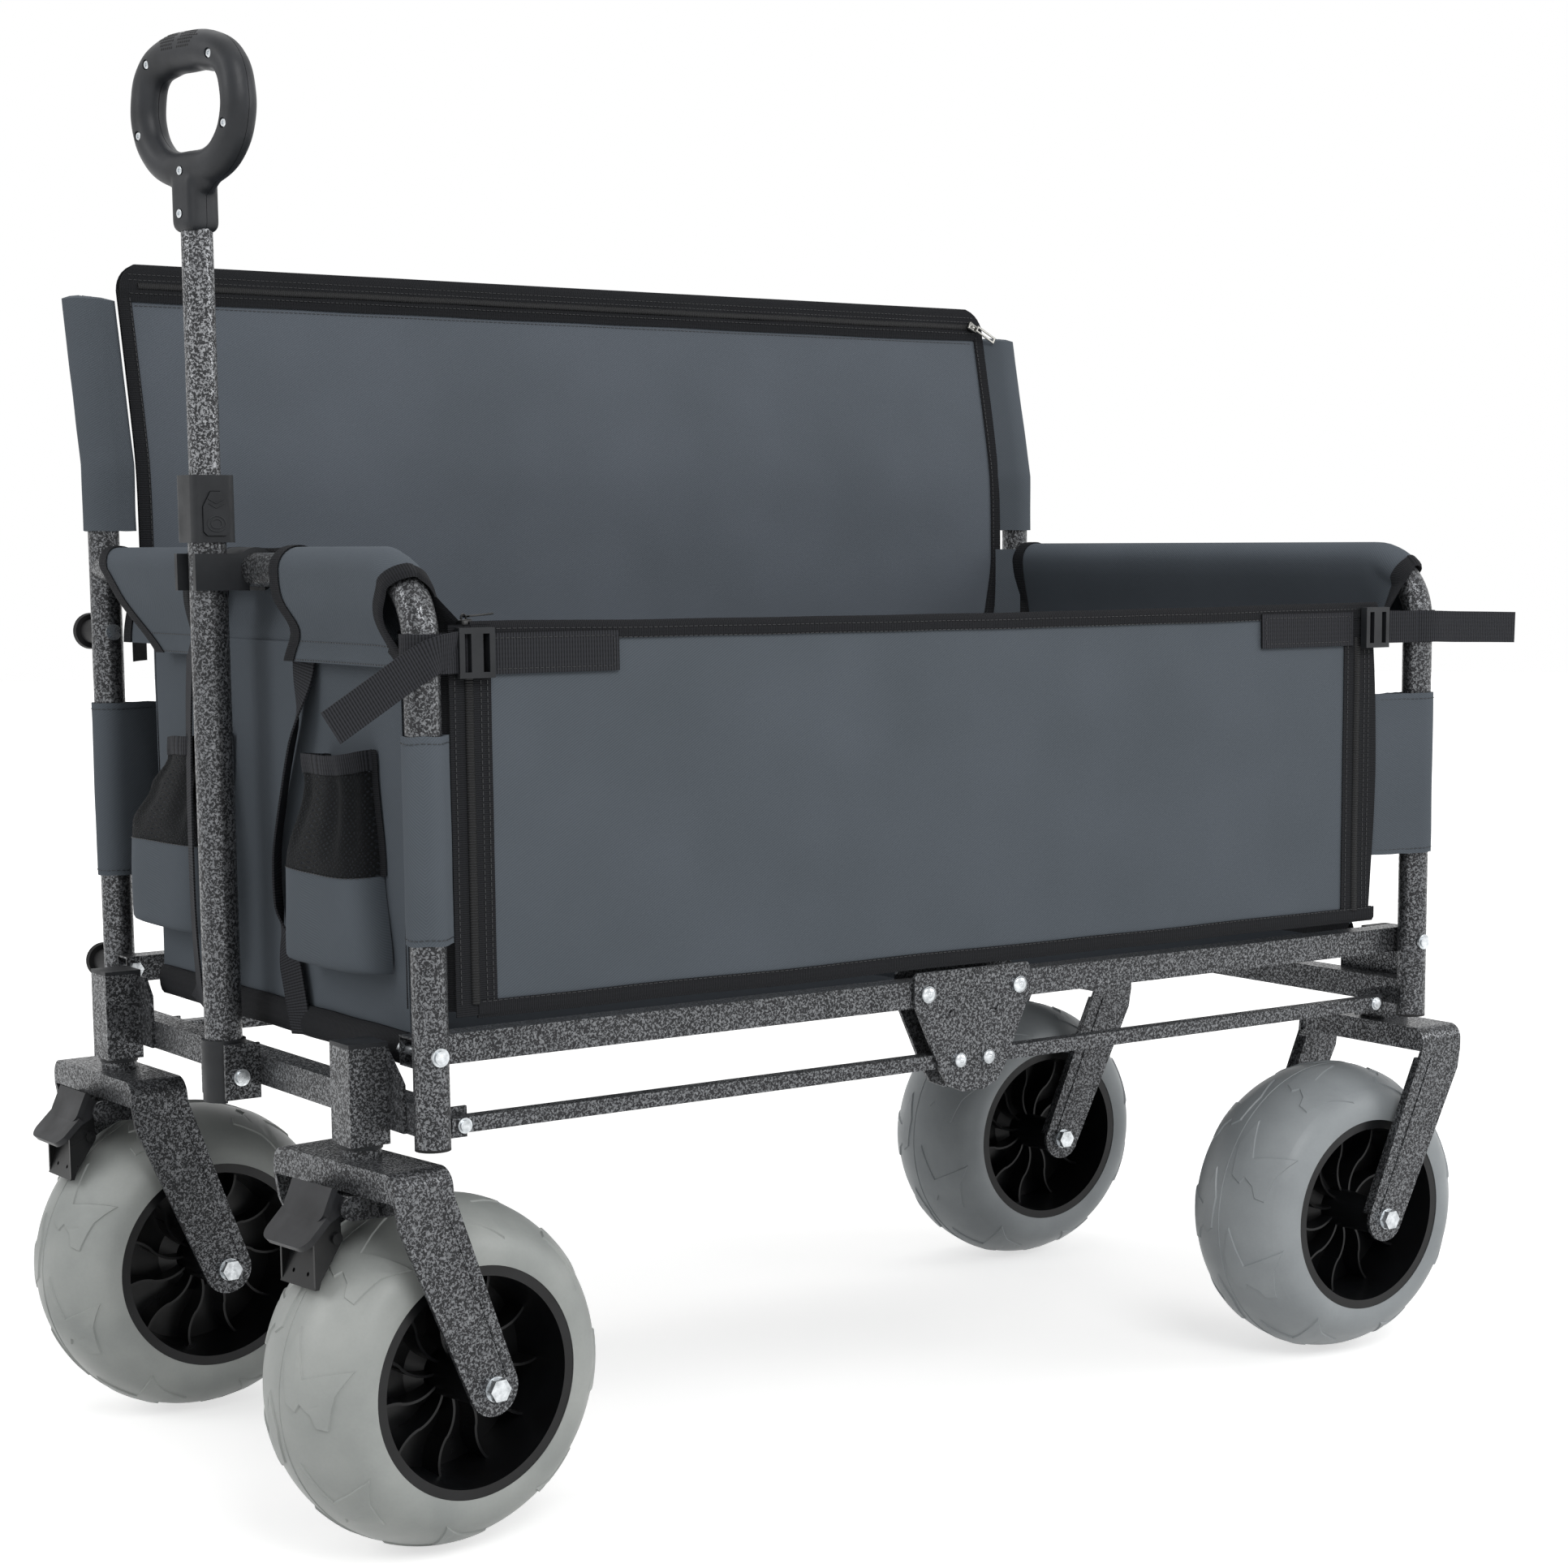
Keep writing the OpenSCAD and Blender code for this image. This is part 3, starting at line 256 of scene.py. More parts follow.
def twill(name, dark, light, sheen="#8b949c", fold_mm=0, painted_shade_below=None):
    # 600-denier polyester twill with a coated back: diagonal ribs. They are 0.5 mm apart on the cloth
    # and are drawn 1.6 mm apart, the finest that still shows.
    f = Finish(name, Roughness=0.85, IOR=1.45, Specular_IOR_Level=0.15, Sheen_Weight=0.04,
               Sheen_Roughness=0.5)
    f.shader.inputs["Sheen Tint"].default_value = colour(sheen)
    cloth = f.cloth_map(rotation=(0, 0, math.radians(58)))
    if fold_mm:
        # herringbone: the ribs turn back on themselves every fold_mm
        parts = f.add("ShaderNodeSeparateXYZ", {"Vector": f.cloth_map()}).outputs
        zigzag = f.maths("PINGPONG", parts["X"], fold_mm / 1000)
        slanted = f.maths("MULTIPLY", f.maths("ADD", zigzag, parts["Y"]), 0.71)
        cloth = f.add("ShaderNodeCombineXYZ", {"X": slanted}).outputs["Vector"]
    ribs = f.add("ShaderNodeTexWave", {"Vector": cloth}, wave_type="BANDS", bands_direction="X",
                 inputs={"Scale": WAVE_MM / 1.6, "Distortion": 0.6, "Detail": 1.0,
                         "Detail Scale": 1.5}).outputs["Fac"]
    slub = f.noise(f.cloth_map(scale=(1, 6, 1)), 9, detail=3.0)
    cloud = f.noise(f.cloth_map(), 130, detail=2.0)
    low = f.mix(f.ramp(cloud, [(0.3, [0] * 3 + [1]), (0.7, [1] * 3 + [1])]).outputs["Color"],
                colour(dark), colour(light))
    # The ribs are real relief; tinting them toward the sheen colour is a painted sheen along the ribs.
    ribs_with_painted_sheen = f.mix(f.maths("MULTIPLY", ribs, 0.2), low, colour(sheen))
    shown = f.mix(f.maths("MULTIPLY", slub, 0.16), ribs_with_painted_sheen, colour(dark))
    if painted_shade_below:
        # painted shade: from this height down the cloth is darkened toward near-black, with a soft edge 25 mm
        # high
        level = f.add("ShaderNodeSeparateXYZ", {"Vector": f.objects()}).outputs["Z"]
        unshaded_share = f.maths("MULTIPLY", f.maths("SUBTRACT", level, painted_shade_below), 40)
        unshaded_mask = f.ramp(unshaded_share, [(0, [0] * 3 + [1]), (1, [1] * 3 + [1])]).outputs["Color"]
        shown = f.mix(unshaded_mask, f.mix(0.36, shown, colour("#1d2126")), shown)
    f.link(shown, "Base Color")
    height = f.maths("ADD", f.maths("MULTIPLY", ribs, 0.7), f.maths("MULTIPLY", slub, 0.5))
    f.link(f.bump(height, 0.22, 0.5), "Normal")
    return f.material


def webbing(name="polypropylene_webbing", dark="#101112", light="#333438", rib_mm=2.2):
    # Woven polypropylene webbing: cross ribs about 1 mm apart, drawn 2.2 mm apart, dull black. The ribs are
    # real;
    # their crests are painted lighter as a painted highlight and the grooves darker as painted shade.
    f = Finish(name, Roughness=0.75, IOR=1.49, Specular_IOR_Level=0.12)
    ribs = f.add("ShaderNodeTexWave", {"Vector": f.cloth_map()}, wave_type="BANDS", bands_direction="X",
                 inputs={"Scale": WAVE_MM / rib_mm, "Distortion": 0.35, "Detail": 1.0,
                         "Detail Scale": 3.0}).outputs["Fac"]
    warp = f.add("ShaderNodeTexWave", {"Vector": f.cloth_map()}, wave_type="BANDS", bands_direction="Y",
                 inputs={"Scale": WAVE_MM / 3.4, "Distortion": 0.5}).outputs["Fac"]
    height = f.maths("MULTIPLY", f.maths("ADD", ribs, 0.25),
                     f.maths("ADD", f.maths("MULTIPLY", warp, 0.4), 1.0))
    # painted highlight on the rib crests and painted shade in the grooves, from the rib height
    f.link(f.ramp(height, [(0.15, colour(dark)), (1.0, colour(light))]).outputs["Color"], "Base Color")
    f.link(f.bump(height, 0.35, 0.7), "Normal")
    return f.material


def binding():
    # Grosgrain binding tape folded over the raw edges: black, fine cross ribs, a sewn line near the edge.
    return webbing("grosgrain_binding", "#0e0f10", "#242528", 1.5)


def zip_coil():
    # Nylon coil zip: round turns of monofilament side by side, drawn 1.9 mm apart, glossier than the tape.
    f = Finish("nylon_zip_coil", Roughness=0.5, IOR=1.53, Specular_IOR_Level=0.25)
    turns = f.add("ShaderNodeTexWave", {"Vector": f.cloth_map()}, wave_type="BANDS", bands_direction="X",
                  inputs={"Scale": WAVE_MM / 1.9, "Distortion": 0.0}).outputs["Fac"]
    # the turns are painted lighter on their crowns and darker between them: painted highlight and painted shade
    tone = f.ramp(turns, [(0.25, colour("#050506")), (0.8, colour("#1c1d1f"))])
    f.link(tone.outputs["Color"], "Base Color")
    f.link(f.bump(turns, 0.8, 0.9), "Normal")
    return f.material


def mesh_cloth():
    # Knitted polyester mesh: a grid of small holes about 2 mm apart, drawn 3 mm apart, black over grey.
    f = Finish("knitted_mesh", Roughness=0.8, IOR=1.5, Specular_IOR_Level=0.15)
    across = f.cloth_map(rotation=(0, 0, math.radians(38)))
    cells = f.add("ShaderNodeTexVoronoi", {"Vector": across}, feature="DISTANCE_TO_EDGE",
                  inputs={"Scale": 1000 / 3.2, "Randomness": 0.12}).outputs["Distance"]
    holes = f.ramp(cells, [(0.16, [1] * 3 + [1]), (0.3, [0] * 3 + [1])]).outputs["Color"]
    f.link(f.mix(holes, colour("#292c30"), colour("#0e0f10")), "Base Color")
    f.link(f.bump(holes, 0.5, 0.8), "Normal")
    f.link(f.ramp(cells, [(0.2, [1] * 3 + [1]), (0.36, [0.62] * 3 + [1])]).outputs["Color"], "Alpha")
    return f.material


HAMMERTONE = hammertone("hammertone_enamel", "#17181a", "#6d6f72", "#a9abad")
HAMMERTONE_PALE = hammertone("hammertone_enamel_pale", "#1f2022", "#8d8f92", "#cfd1d3")
ZINC = zinc_plate()
ENAMEL = moulded("black_enamelled_zinc", "#0f1011", "#1a1b1c", 0.3)
FITTING = moulded("moulded_nylon", "#191b1e", "#26282b", 0.5)
PEDAL = moulded("moulded_pedal_nylon", "#1e1f21", "#2b2c2f", 0.46)
GRIP = moulded("moulded_abs_grip", "#1f2124", "#2c2e32", 0.45, 1.2, 0.09)
RUBBER = moulded("moulded_rubber", "#0c0c0d", "#171719", 0.6, 2.0, 0.03)
HUB = moulded("moulded_polypropylene_hub", "#060607", "#111214", 0.34, 1.5, 0.04)
TYRE_FRONT = tyre_rubber("moulded_tyre_rubber_light", "#969a98", "#aeb1ae")
TYRE_REAR = tyre_rubber("moulded_tyre_rubber_grey", "#8a8f92", "#9ea3a6")
NICKEL = nickel_plate()
PADDING = twill("polyester_oxford_floor", "#2f3338", "#3a3f45", "#5b636b")
TWILL = twill("polyester_twill", "#4c5258", "#535960", "#777e86")
# Painted light: the walls' twill made lighter for the backrest, where light falls full on it; the cloth is the
# same.
TWILL_PAINTED_LIGHT = twill("polyester_twill_painted_lighter", "#545a61", "#5b6169", "#7f868e")
# Painted shade: the walls' twill, darkened below 678 mm for the rear flap's inner side, where the tub shades
# it.
TWILL_PAINTED_SHADE = twill("polyester_twill_painted_shade", "#4c5258", "#535960", "#777e86", painted_shade_below=0.678)
HERRINGBONE = twill("polyester_herringbone", "#4c5258", "#555b62", "#7b828a", fold_mm=21)
WEBBING = webbing()
BINDING = binding()
COIL = zip_coil()
MESH = mesh_cloth()

node_finish = {
    "hammertone": (HAMMERTONE, [
        "front_hoop", "front_post", "front_crossbar", "front_caster_housings", "near_caster_fork",
        "far_caster_fork", "near_brake_bracket", "far_brake_bracket",
        "front_upper_rails", "front_lower_rails", "rear_upper_rails", "rear_lower_rails", "centre_brackets",
        "rear_hoop", "rear_post", "rear_crossbar", "rear_forks", "lower_handle_tube"]),
    "hammertone_pale": (HAMMERTONE_PALE, ["upper_handle_tube"]),
    "zinc": (ZINC, ["front_pivot_bolts", "rear_pivot_bolts", "near_front_axle", "far_front_axle",
                    "rear_axles", "bracket_rivets", "grip_screws"]),
    "nylon": (FITTING, ["caster_bushes", "handle_clip", "handle_foot", "handle_collar", "release_button",
                        "front_buckle", "rear_buckle"]),
    "enamel": (ENAMEL, ["near_brake_shoe", "far_brake_shoe"]),
    "pedal": (PEDAL, ["near_brake_pedal", "far_brake_pedal"]),
    "grip": (GRIP, ["grip_front_shell", "grip_rear_shell"]),
    "rubber": (RUBBER, ["front_end_caps", "rear_end_caps"]),
    "hub": (HUB, ["near_front_hub", "far_front_hub", "near_rear_hub", "far_rear_hub"]),
    "tyre_front": (TYRE_FRONT, ["near_front_tyre", "far_front_tyre"]),
    "tyre_rear": (TYRE_REAR, ["near_rear_tyre", "far_rear_tyre"]),
}
for material, names in node_finish.values():
    for name in names:
        nodes[name].data.materials.clear()
        nodes[name].data.materials.append(material)


# ------------------------------------------------------------------ making pieces

def deselect():
    bpy.ops.object.select_all(action="DESELECT")


def pick(*pieces):
    """Selects these objects alone; the first one becomes the active one."""
    deselect()
    for piece in pieces:
        piece.select_set(True)
    bpy.context.view_layer.objects.active = pieces[0]


def merged(pieces):
    pick(*pieces)
    bpy.ops.object.join()
    return pieces[0]


def settle(piece, name, body, material, slot, smooth=40):
    """Names a finished piece, puts its place into its mesh and lets it ride on a body."""
    piece.name = name
    piece.data.name = name
    pick(piece)
    bpy.ops.object.transform_apply()
    piece.data.materials.clear()
    piece.data.materials.append(material)
    if smooth:
        bpy.ops.object.shade_smooth_by_angle(angle=math.radians(smooth))
    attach(piece, body)
    return piece


def modify(piece, kind, **settings):
    pick(piece)
    modifier = piece.modifiers.new(kind.lower(), kind)
    for key, value in settings.items():
        setattr(modifier, key, value)
    bpy.ops.object.modifier_apply(modifier=modifier.name)


def cloth(name, body, material, slot, place, columns, rows, held="stretched", thick=1.0, rests_on=(),
          closed=False, smooth=50, flat=None, declare=True, with_pieces=()):
    """A sheet laid out as a grid, whose points go where place(u, v) says, in millimetres.
    Its map is in metres along the cloth, with lengths measured along the grid."""
    deselect()
    bpy.ops.mesh.primitive_grid_add(x_subdivisions=columns, y_subdivisions=rows, size=1, calc_uvs=True)
    piece = bpy.context.active_object
    mesh = piece.data
    across = columns + 1
    points = [place((v.co.x + 0.5), (v.co.y + 0.5)) for v in mesh.vertices]
    grid = {}
    for vertex, point in zip(mesh.vertices, points):
        key = (round((vertex.co.x + 0.5) * columns), round((vertex.co.y + 0.5) * rows))
        grid[key] = Vector(point)
    for vertex in mesh.vertices:
        key = (round((vertex.co.x + 0.5) * columns), round((vertex.co.y + 0.5) * rows))
        vertex.co = grid[key] / 1000
    widths = [sum((grid[i + 1, j] - grid[i, j]).length for i in range(columns)) for j in range(rows + 1)]
    heights = [sum((grid[i, j + 1] - grid[i, j]).length for j in range(rows)) for i in range(across)]
    width, height = sum(widths) / len(widths) / 1000, sum(heights) / len(heights) / 1000
    for loop in mesh.uv_layers[0].data:
        loop.uv = (loop.uv[0] * width, loop.uv[1] * height)
    if closed:
        modify(piece, "WELD", merge_threshold=0.0001)
    modify(piece, "SOLIDIFY", thickness=thick / 1000, offset=0, use_even_offset=False)
    settle(piece, name, body, material, slot, smooth)
    if declare:
        flat or (max(width, 0.01), max(height, 0.01))
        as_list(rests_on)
        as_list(with_pieces)
    return piece


def wave(a, b, size, seed=0.0):
    """Smooth unevenness of cloth, from -1 to 1, over a and b in millimetres."""
    return noise.noise(Vector((a / size, b / size, seed)))


def ease(t):
    t = min(max(t, 0.0), 1.0)
    return t * t * (3 - 2 * t)


def mixed(a, b, t):
    return a + (b - a) * t


# ------------------------------------------------------------------ near wall

WALL_Y = (wall_low.y + wall_high.y) / 2 + 1
WALL_X0, WALL_X1 = wall_low.x, wall_high.x
WALL_Z0, WALL_Z1 = wall_low.z, wall_high.z - 3


def wall_bulge(x, z):
    """How far the near wall stands out from its plane at x and z."""
    rise = (z - WALL_Z0) / (WALL_Z1 - WALL_Z0)
    along = (x - WALL_X0) / (WALL_X1 - WALL_X0)
    body = 2.0 * math.sin(math.pi * min(max(along, 0), 1)) * math.sin(math.pi * min(max(rise, 0), 1))
    return body + 1.6 * wave(x, z, 190, 3) * (0.3 + rise * (1.2 - rise)) + 0.6 * wave(x, z, 60, 5)


def wall_foot(x):
    return WALL_Z0 + 1.4 * wave(x, 0, 120, 8)


def wall_head(x):
    return WALL_Z1 - 2.0 * math.sin(math.pi * (x - WALL_X0) / (WALL_X1 - WALL_X0)) + 0.8 * wave(x, 9, 90, 2)


def near_point(x, share, out=0.0):
    z = mixed(wall_foot(x), wall_head(x), share)
    return (x, WALL_Y - wall_bulge(x, z) - out, z)


def fold_wall(piece):
    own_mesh(piece)


near_cloth = cloth("near_wall_cloth", "near_wall", TWILL, "grey_fabric",
                   lambda u, v: near_point(mixed(WALL_X0 + 16, WALL_X1 - 10, u), v), 90, 28)
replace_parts(near_cloth, "near_panel")


def fold_over(x, v, edge, half, wall):
    """Where a tape folded over a level edge lies: v runs from the outer face over the edge to the inner."""
    side = 2 * v - 1
    depth = half * abs(side)
    out = wall * (-1 if side > 0 else 1) * min(1, abs(side) * 6)
    y = WALL_Y - wall_bulge(x, edge(x)) - out
    return y, depth


def top_tape(u, v):
    x = mixed(WALL_X0 + 4, WALL_X1 - 4, u)
    y, depth = fold_over(x, v, wall_head, 12, 1.7)
    return (x, y, wall_head(x) + 1.8 - depth)


def foot_tape(u, v):
    x = mixed(WALL_X0 + 4, WALL_X1 - 4, u)
    y, depth = fold_over(x, v, wall_foot, 12, 1.7)
    return (x, y, wall_foot(x) - 1.8 + depth)


top_binding = cloth("near_wall_top_binding", "near_wall", BINDING, "grey_fabric", top_tape, 90, 8, thick=0.8)
foot_binding = cloth("near_wall_foot_binding", "near_wall", BINDING, "grey_fabric", foot_tape, 90, 8,
                     thick=0.8)


def upright_tape(x0, x1, out, sway=0.0):
    return lambda u, v: near_point(mixed(x0, x1 + sway * math.sin(math.pi * u), v), u, out)


def coil_strip(x, half, out):
    """Half-round run of zip coil up the near wall."""
    def place(u, v):
        a = math.pi * v
        px, py, pz = near_point(x, mixed(0.03, 0.9, u), out)
        return (px - half * math.cos(a), py - 1.5 * math.sin(a), pz)
    return place


near_trim = [top_binding, foot_binding]
for end, x in (("front", WALL_X0 + 2), ("rear", WALL_X1 - 28)):
    near_trim.append(cloth(f"{end}_zip_tape", "near_wall", BINDING, "grey_fabric",
                           upright_tape(x - 15, x + 17, 1.3, 7 if end == "rear" else 0), 28, 4, thick=0.8))
    near_trim.append(cloth(f"{end}_zip_coil", "near_wall", COIL, "grey_fabric", coil_strip(x, 3.2, 1.8), 40,
                           6, thick=0.5, declare=False))
STRAP_Z = 637.0
for end, x0, x1 in (("front", WALL_X0 + 14, WALL_X0 + 120), ("rear", WALL_X1 - 140, WALL_X1 - 34)):
    def patch(u, v, x0=x0, x1=x1):
        x = mixed(x0, x1, u)
        z = mixed(STRAP_Z - 15, STRAP_Z + 13, v)
        return (x, WALL_Y - wall_bulge(x, z) - 2.6, z)
    near_trim.append(cloth(f"{end}_strap_patch", "near_wall", WEBBING, "grey_fabric", patch, 24, 6,
                           thick=1.4))
for piece in [near_cloth] + near_trim:
    fold_wall(piece)


# ------------------------------------------------------------------ end walls

def end_wall(sign):
    """Maps distance across (from the near leg, in y), height and outward distance to a point of one end."""
    base = FRONT if sign < 0 else REAR
    return lambda y, z, out: (base - sign * 5.5 + sign * out, y, z)


front_at = end_wall(-1)
rear_at = end_wall(1)


def sag(y, z, seed):
    span = (y - NEAR) / (FAR - NEAR)
    hollow = -2.0 * math.sin(math.pi * min(max(span, 0), 1))
    return hollow + 1.6 * wave(y, z, 150, seed) + 0.7 * wave(y, z, 45, seed)


END_FOOT_Z, END_HEAD_Z = 372, 640


def end_cloth(name, body, at, seed, node, near_edge, far_edge):
    def place(u, v):
        z = mixed(END_FOOT_Z, END_HEAD_Z, v)
        y = MID + mixed(near_edge, far_edge, u)
        return at(y, z, sag(y, z, seed) * 0.8)
    piece = cloth(name, body, TWILL, "grey_fabric", place, 56, 30)
    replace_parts(piece, node)
    return piece


FRONT_EDGES, REAR_EDGES = (-236, 194), (-208, 208)        # across, from the middle
end_cloth("front_end_cloth", "front_frame", front_at, 11, "front_end_panel", *FRONT_EDGES)
end_cloth("rear_end_cloth", "rear_frame", rear_at, 17, "rear_end_panel", *REAR_EDGES)


def hem(name, body, at, seed, edges):
    """Dark padded hem at the foot of an end wall."""
    def place(u, v):
        a = 2 * math.pi * v
        y = MID + mixed(edges[0] + 1, edges[1] - 1, u)
        return at(y, 362 + 11.5 * math.sin(a) + wave(y, 0, 60, seed),
                  1.5 + 4.2 * math.cos(a) + sag(y, 380, seed) * 0.5)
    return cloth(name, body, BINDING, "grey_fabric", place, 60, 14, closed=True, thick=0.9)


hem("front_end_hem", "front_frame", front_at, 21, FRONT_EDGES)
hem("rear_end_hem", "rear_frame", rear_at, 23, REAR_EDGES)


# ------------------------------------------------------------------ edges, ribbons and thread

def near_by(place, u, v, step=0.004):
    """A point of a sheet, with its directions along u and v in millimetres a unit."""
    u0, u1 = max(u - step, 0), min(u + step, 1)
    v0, v1 = max(v - step, 0), min(v + step, 1)
    along = (Vector(place(u1, v)) - Vector(place(u0, v))) / (u1 - u0)
    up = (Vector(place(u, v1)) - Vector(place(u, v0))) / (v1 - v0)
    return Vector(place(u, v)), along, up


def bound(place, edge, half, lift=1.4):
    """Tape folded over one edge of a sheet (u0, u1, v0 or v1) that reaches half onto each face."""
    start = 0.0 if edge[1] == "0" else 1.0

    def tape(t, s):
        side = 2 * s - 1
        point, along, up = near_by(place, *((start, t) if edge[0] == "u" else (t, start)))
        inward = (along if edge[0] == "u" else up) * (1 if start == 0 else -1)
        share = half * abs(side) / max(inward.length, 0.001)
        inside = min(max(start + (share if start == 0 else -share), 0), 1)
        point, along, up = near_by(place, *((inside, t) if edge[0] == "u" else (t, inside)))
        face = along.cross(up).normalized()
        turn = min(1, abs(side) * 5)
        return point + face * lift * turn * (1 if side > 0 else -1) - inward.normalized() * 0.9 * (1 - turn)
    return tape


class Route:
    """A smooth line through points, read by its share of the length."""

    def __init__(self, points):
        points = [Vector(p) for p in points]
        ends = [2 * points[0] - points[1]] + points + [2 * points[-1] - points[-2]]
        self.samples = []
        for a, b, c, d in zip(ends, ends[1:], ends[2:], ends[3:]):
            for k in range(16):
                t = k / 16
                self.samples.append(0.5 * (2 * b + (c - a) * t + (2 * a - 5 * b + 4 * c - d) * t * t
                                           + (3 * b - a - 3 * c + d) * t ** 3))
        self.samples.append(points[-1])
        self.runs = [0.0]
        for a, b in zip(self.samples, self.samples[1:]):
            self.runs.append(self.runs[-1] + (b - a).length)

    def at(self, share):
        want = min(max(share, 0), 1) * self.runs[-1]
        k = next((i for i in range(len(self.runs) - 1) if self.runs[i + 1] >= want), len(self.runs) - 2)
        span = self.runs[k + 1] - self.runs[k]
        a, b = self.samples[k], self.samples[k + 1]
        return a.lerp(b, (want - self.runs[k]) / max(span, 1e-9)), (b - a).normalized()


def ribbon(name, body, points, width, across=(0, 0, 1), steps=48, turn=None, held="stretched"):
    """Webbing along a route; across is its width's direction, and turn(t) twists it by an angle."""
    route = Route(points)

    def place(u, v):
        point, way = route.at(u)
        side = Vector(across)
        side = (side - way * side.dot(way)).normalized()
        if turn:
            side = Matrix.Rotation(turn(u), 3, way) @ side
        return point + side * (v - 0.5) * width
    return cloth(name, body, WEBBING, "grey_fabric", place, steps, 4, held=held, thick=1.4, smooth=60)


def thread_row(name, body, points, pitch=4.2, material=None, gauge=0.55):
    """A row of lockstitches: one stitch is shaped, then set out along a line."""
    points = [Vector(p) / 1000 for p in points]
    length = sum((b - a).length for a, b in zip(points, points[1:])) * 1000
    deselect()
    bpy.ops.mesh.primitive_cube_add(size=1, location=(pitch / 2000, 0, 0),
                                    scale=(pitch * 0.68 / 1000, gauge / 1000, gauge * 0.8 / 1000))
    piece = bpy.context.active_object
    bpy.ops.object.transform_apply()
    line = bpy.data.curves.new("stitch_line", "CURVE")
    line.dimensions = "3D"
    run = line.splines.new("POLY")
    run.points.add(len(points) - 1)
    for dot, point in zip(run.points, points):
        dot.co = (*point, 1)
    guide = bpy.data.objects.new("stitch_line", line)
    bpy.context.collection.objects.link(guide)
    modify(piece, "ARRAY", count=max(2, int(length / pitch)), use_relative_offset=False,
           use_constant_offset=True, constant_offset_displace=(pitch / 1000, 0, 0))
    modify(piece, "CURVE", object=guide, deform_axis="POS_X")
    bpy.data.objects.remove(guide)
    return settle(piece, name, body, material or THREAD, "grey_fabric", smooth=0)


def polyester_thread(name, code):
    # Polyester sewing thread: twisted, slightly glossy, a shade off the cloth it holds.
    f = Finish(name, Roughness=0.5, IOR=1.5)
    twist = f.noise(f.objects(), 1.2, detail=1.0)
    f.link(f.ramp(twist, [(0.3, colour("#17181a")), (0.8, colour(code))]).outputs["Color"], "Base Color")
    return f.material


THREAD = polyester_thread("polyester_thread", "#33363a")
THREAD_DARK = polyester_thread("polyester_thread_black", "#2e3033")


# ------------------------------------------------------------------ near wall stitching

near_rows = []
for row, (share, out) in enumerate(((0.963, 2.3), (0.988, 2.3), (0.035, 2.3))):
    near_rows.append(thread_row(f"near_wall_binding_stitch_{row + 1}", "near_wall", [
        near_point(mixed(WALL_X0 + 6, WALL_X1 - 6, k / 60), share, out) for k in range(61)],
        material=THREAD_DARK))
for end, x in (("front", WALL_X0 + 2), ("rear", WALL_X1 - 28)):
    for row, dx in enumerate((-11, 9, 14)):
        near_rows.append(thread_row(f"{end}_zip_stitch_{row + 1}", "near_wall", [
            near_point(x + dx, mixed(0.03, 0.9, k / 30), 1.9) for k in range(31)], material=THREAD_DARK))
for end, x0, x1 in (("front", WALL_X0 + 14, WALL_X0 + 120), ("rear", WALL_X1 - 140, WALL_X1 - 34)):
    corner = [(x0 + 4, STRAP_Z - 11.5), (x1 - 4, STRAP_Z - 11.5), (x1 - 4, STRAP_Z + 9.5),
              (x0 + 4, STRAP_Z + 9.5), (x0 + 4, STRAP_Z - 11.5)]
    square = []
    for (xa, za), (xb, zb) in zip(corner, corner[1:]):
        for k in range(9):
            x, z = mixed(xa, xb, k / 8), mixed(za, zb, k / 8)
            square.append((x, WALL_Y - wall_bulge(x, z) - 3.4, z))
    near_rows.append(thread_row(f"{end}_patch_stitch", "near_wall", square, material=THREAD_DARK))
for piece in near_rows:
    fold_wall(piece)


# ------------------------------------------------------------------ flaps over the top bars

FLAP_R = 16.3
FLAP_DROP = 65            # outer side of a flap, from its hem to the level of the bar's axis
FLAP_RUN = 176            # whole profile, from the outer hem to the inner one
HOOD_RUN = 52             # length of a hood along the bend
HOOD_TURN = 0.694
HOOD_CLEAR = 14.8         # least distance of a hood from the bar's centre line


def bar_section(v):
    """Profile of a flap: from its outer hem over the bar and down inside. Gives (outward, up)."""
    run = v * FLAP_RUN
    if run < FLAP_DROP:
        return mixed(8.4, FLAP_R, ease(run / 46)), run - FLAP_DROP
    if run < FLAP_DROP + math.pi * FLAP_R:
        a = (run - FLAP_DROP) / FLAP_R
        return FLAP_R * math.cos(a), FLAP_R * math.sin(a)
    k = (run - FLAP_DROP - math.pi * FLAP_R) / (FLAP_RUN - FLAP_DROP - math.pi * FLAP_R)
    return mixed(-FLAP_R, -7.4, ease(k)), -60 * k


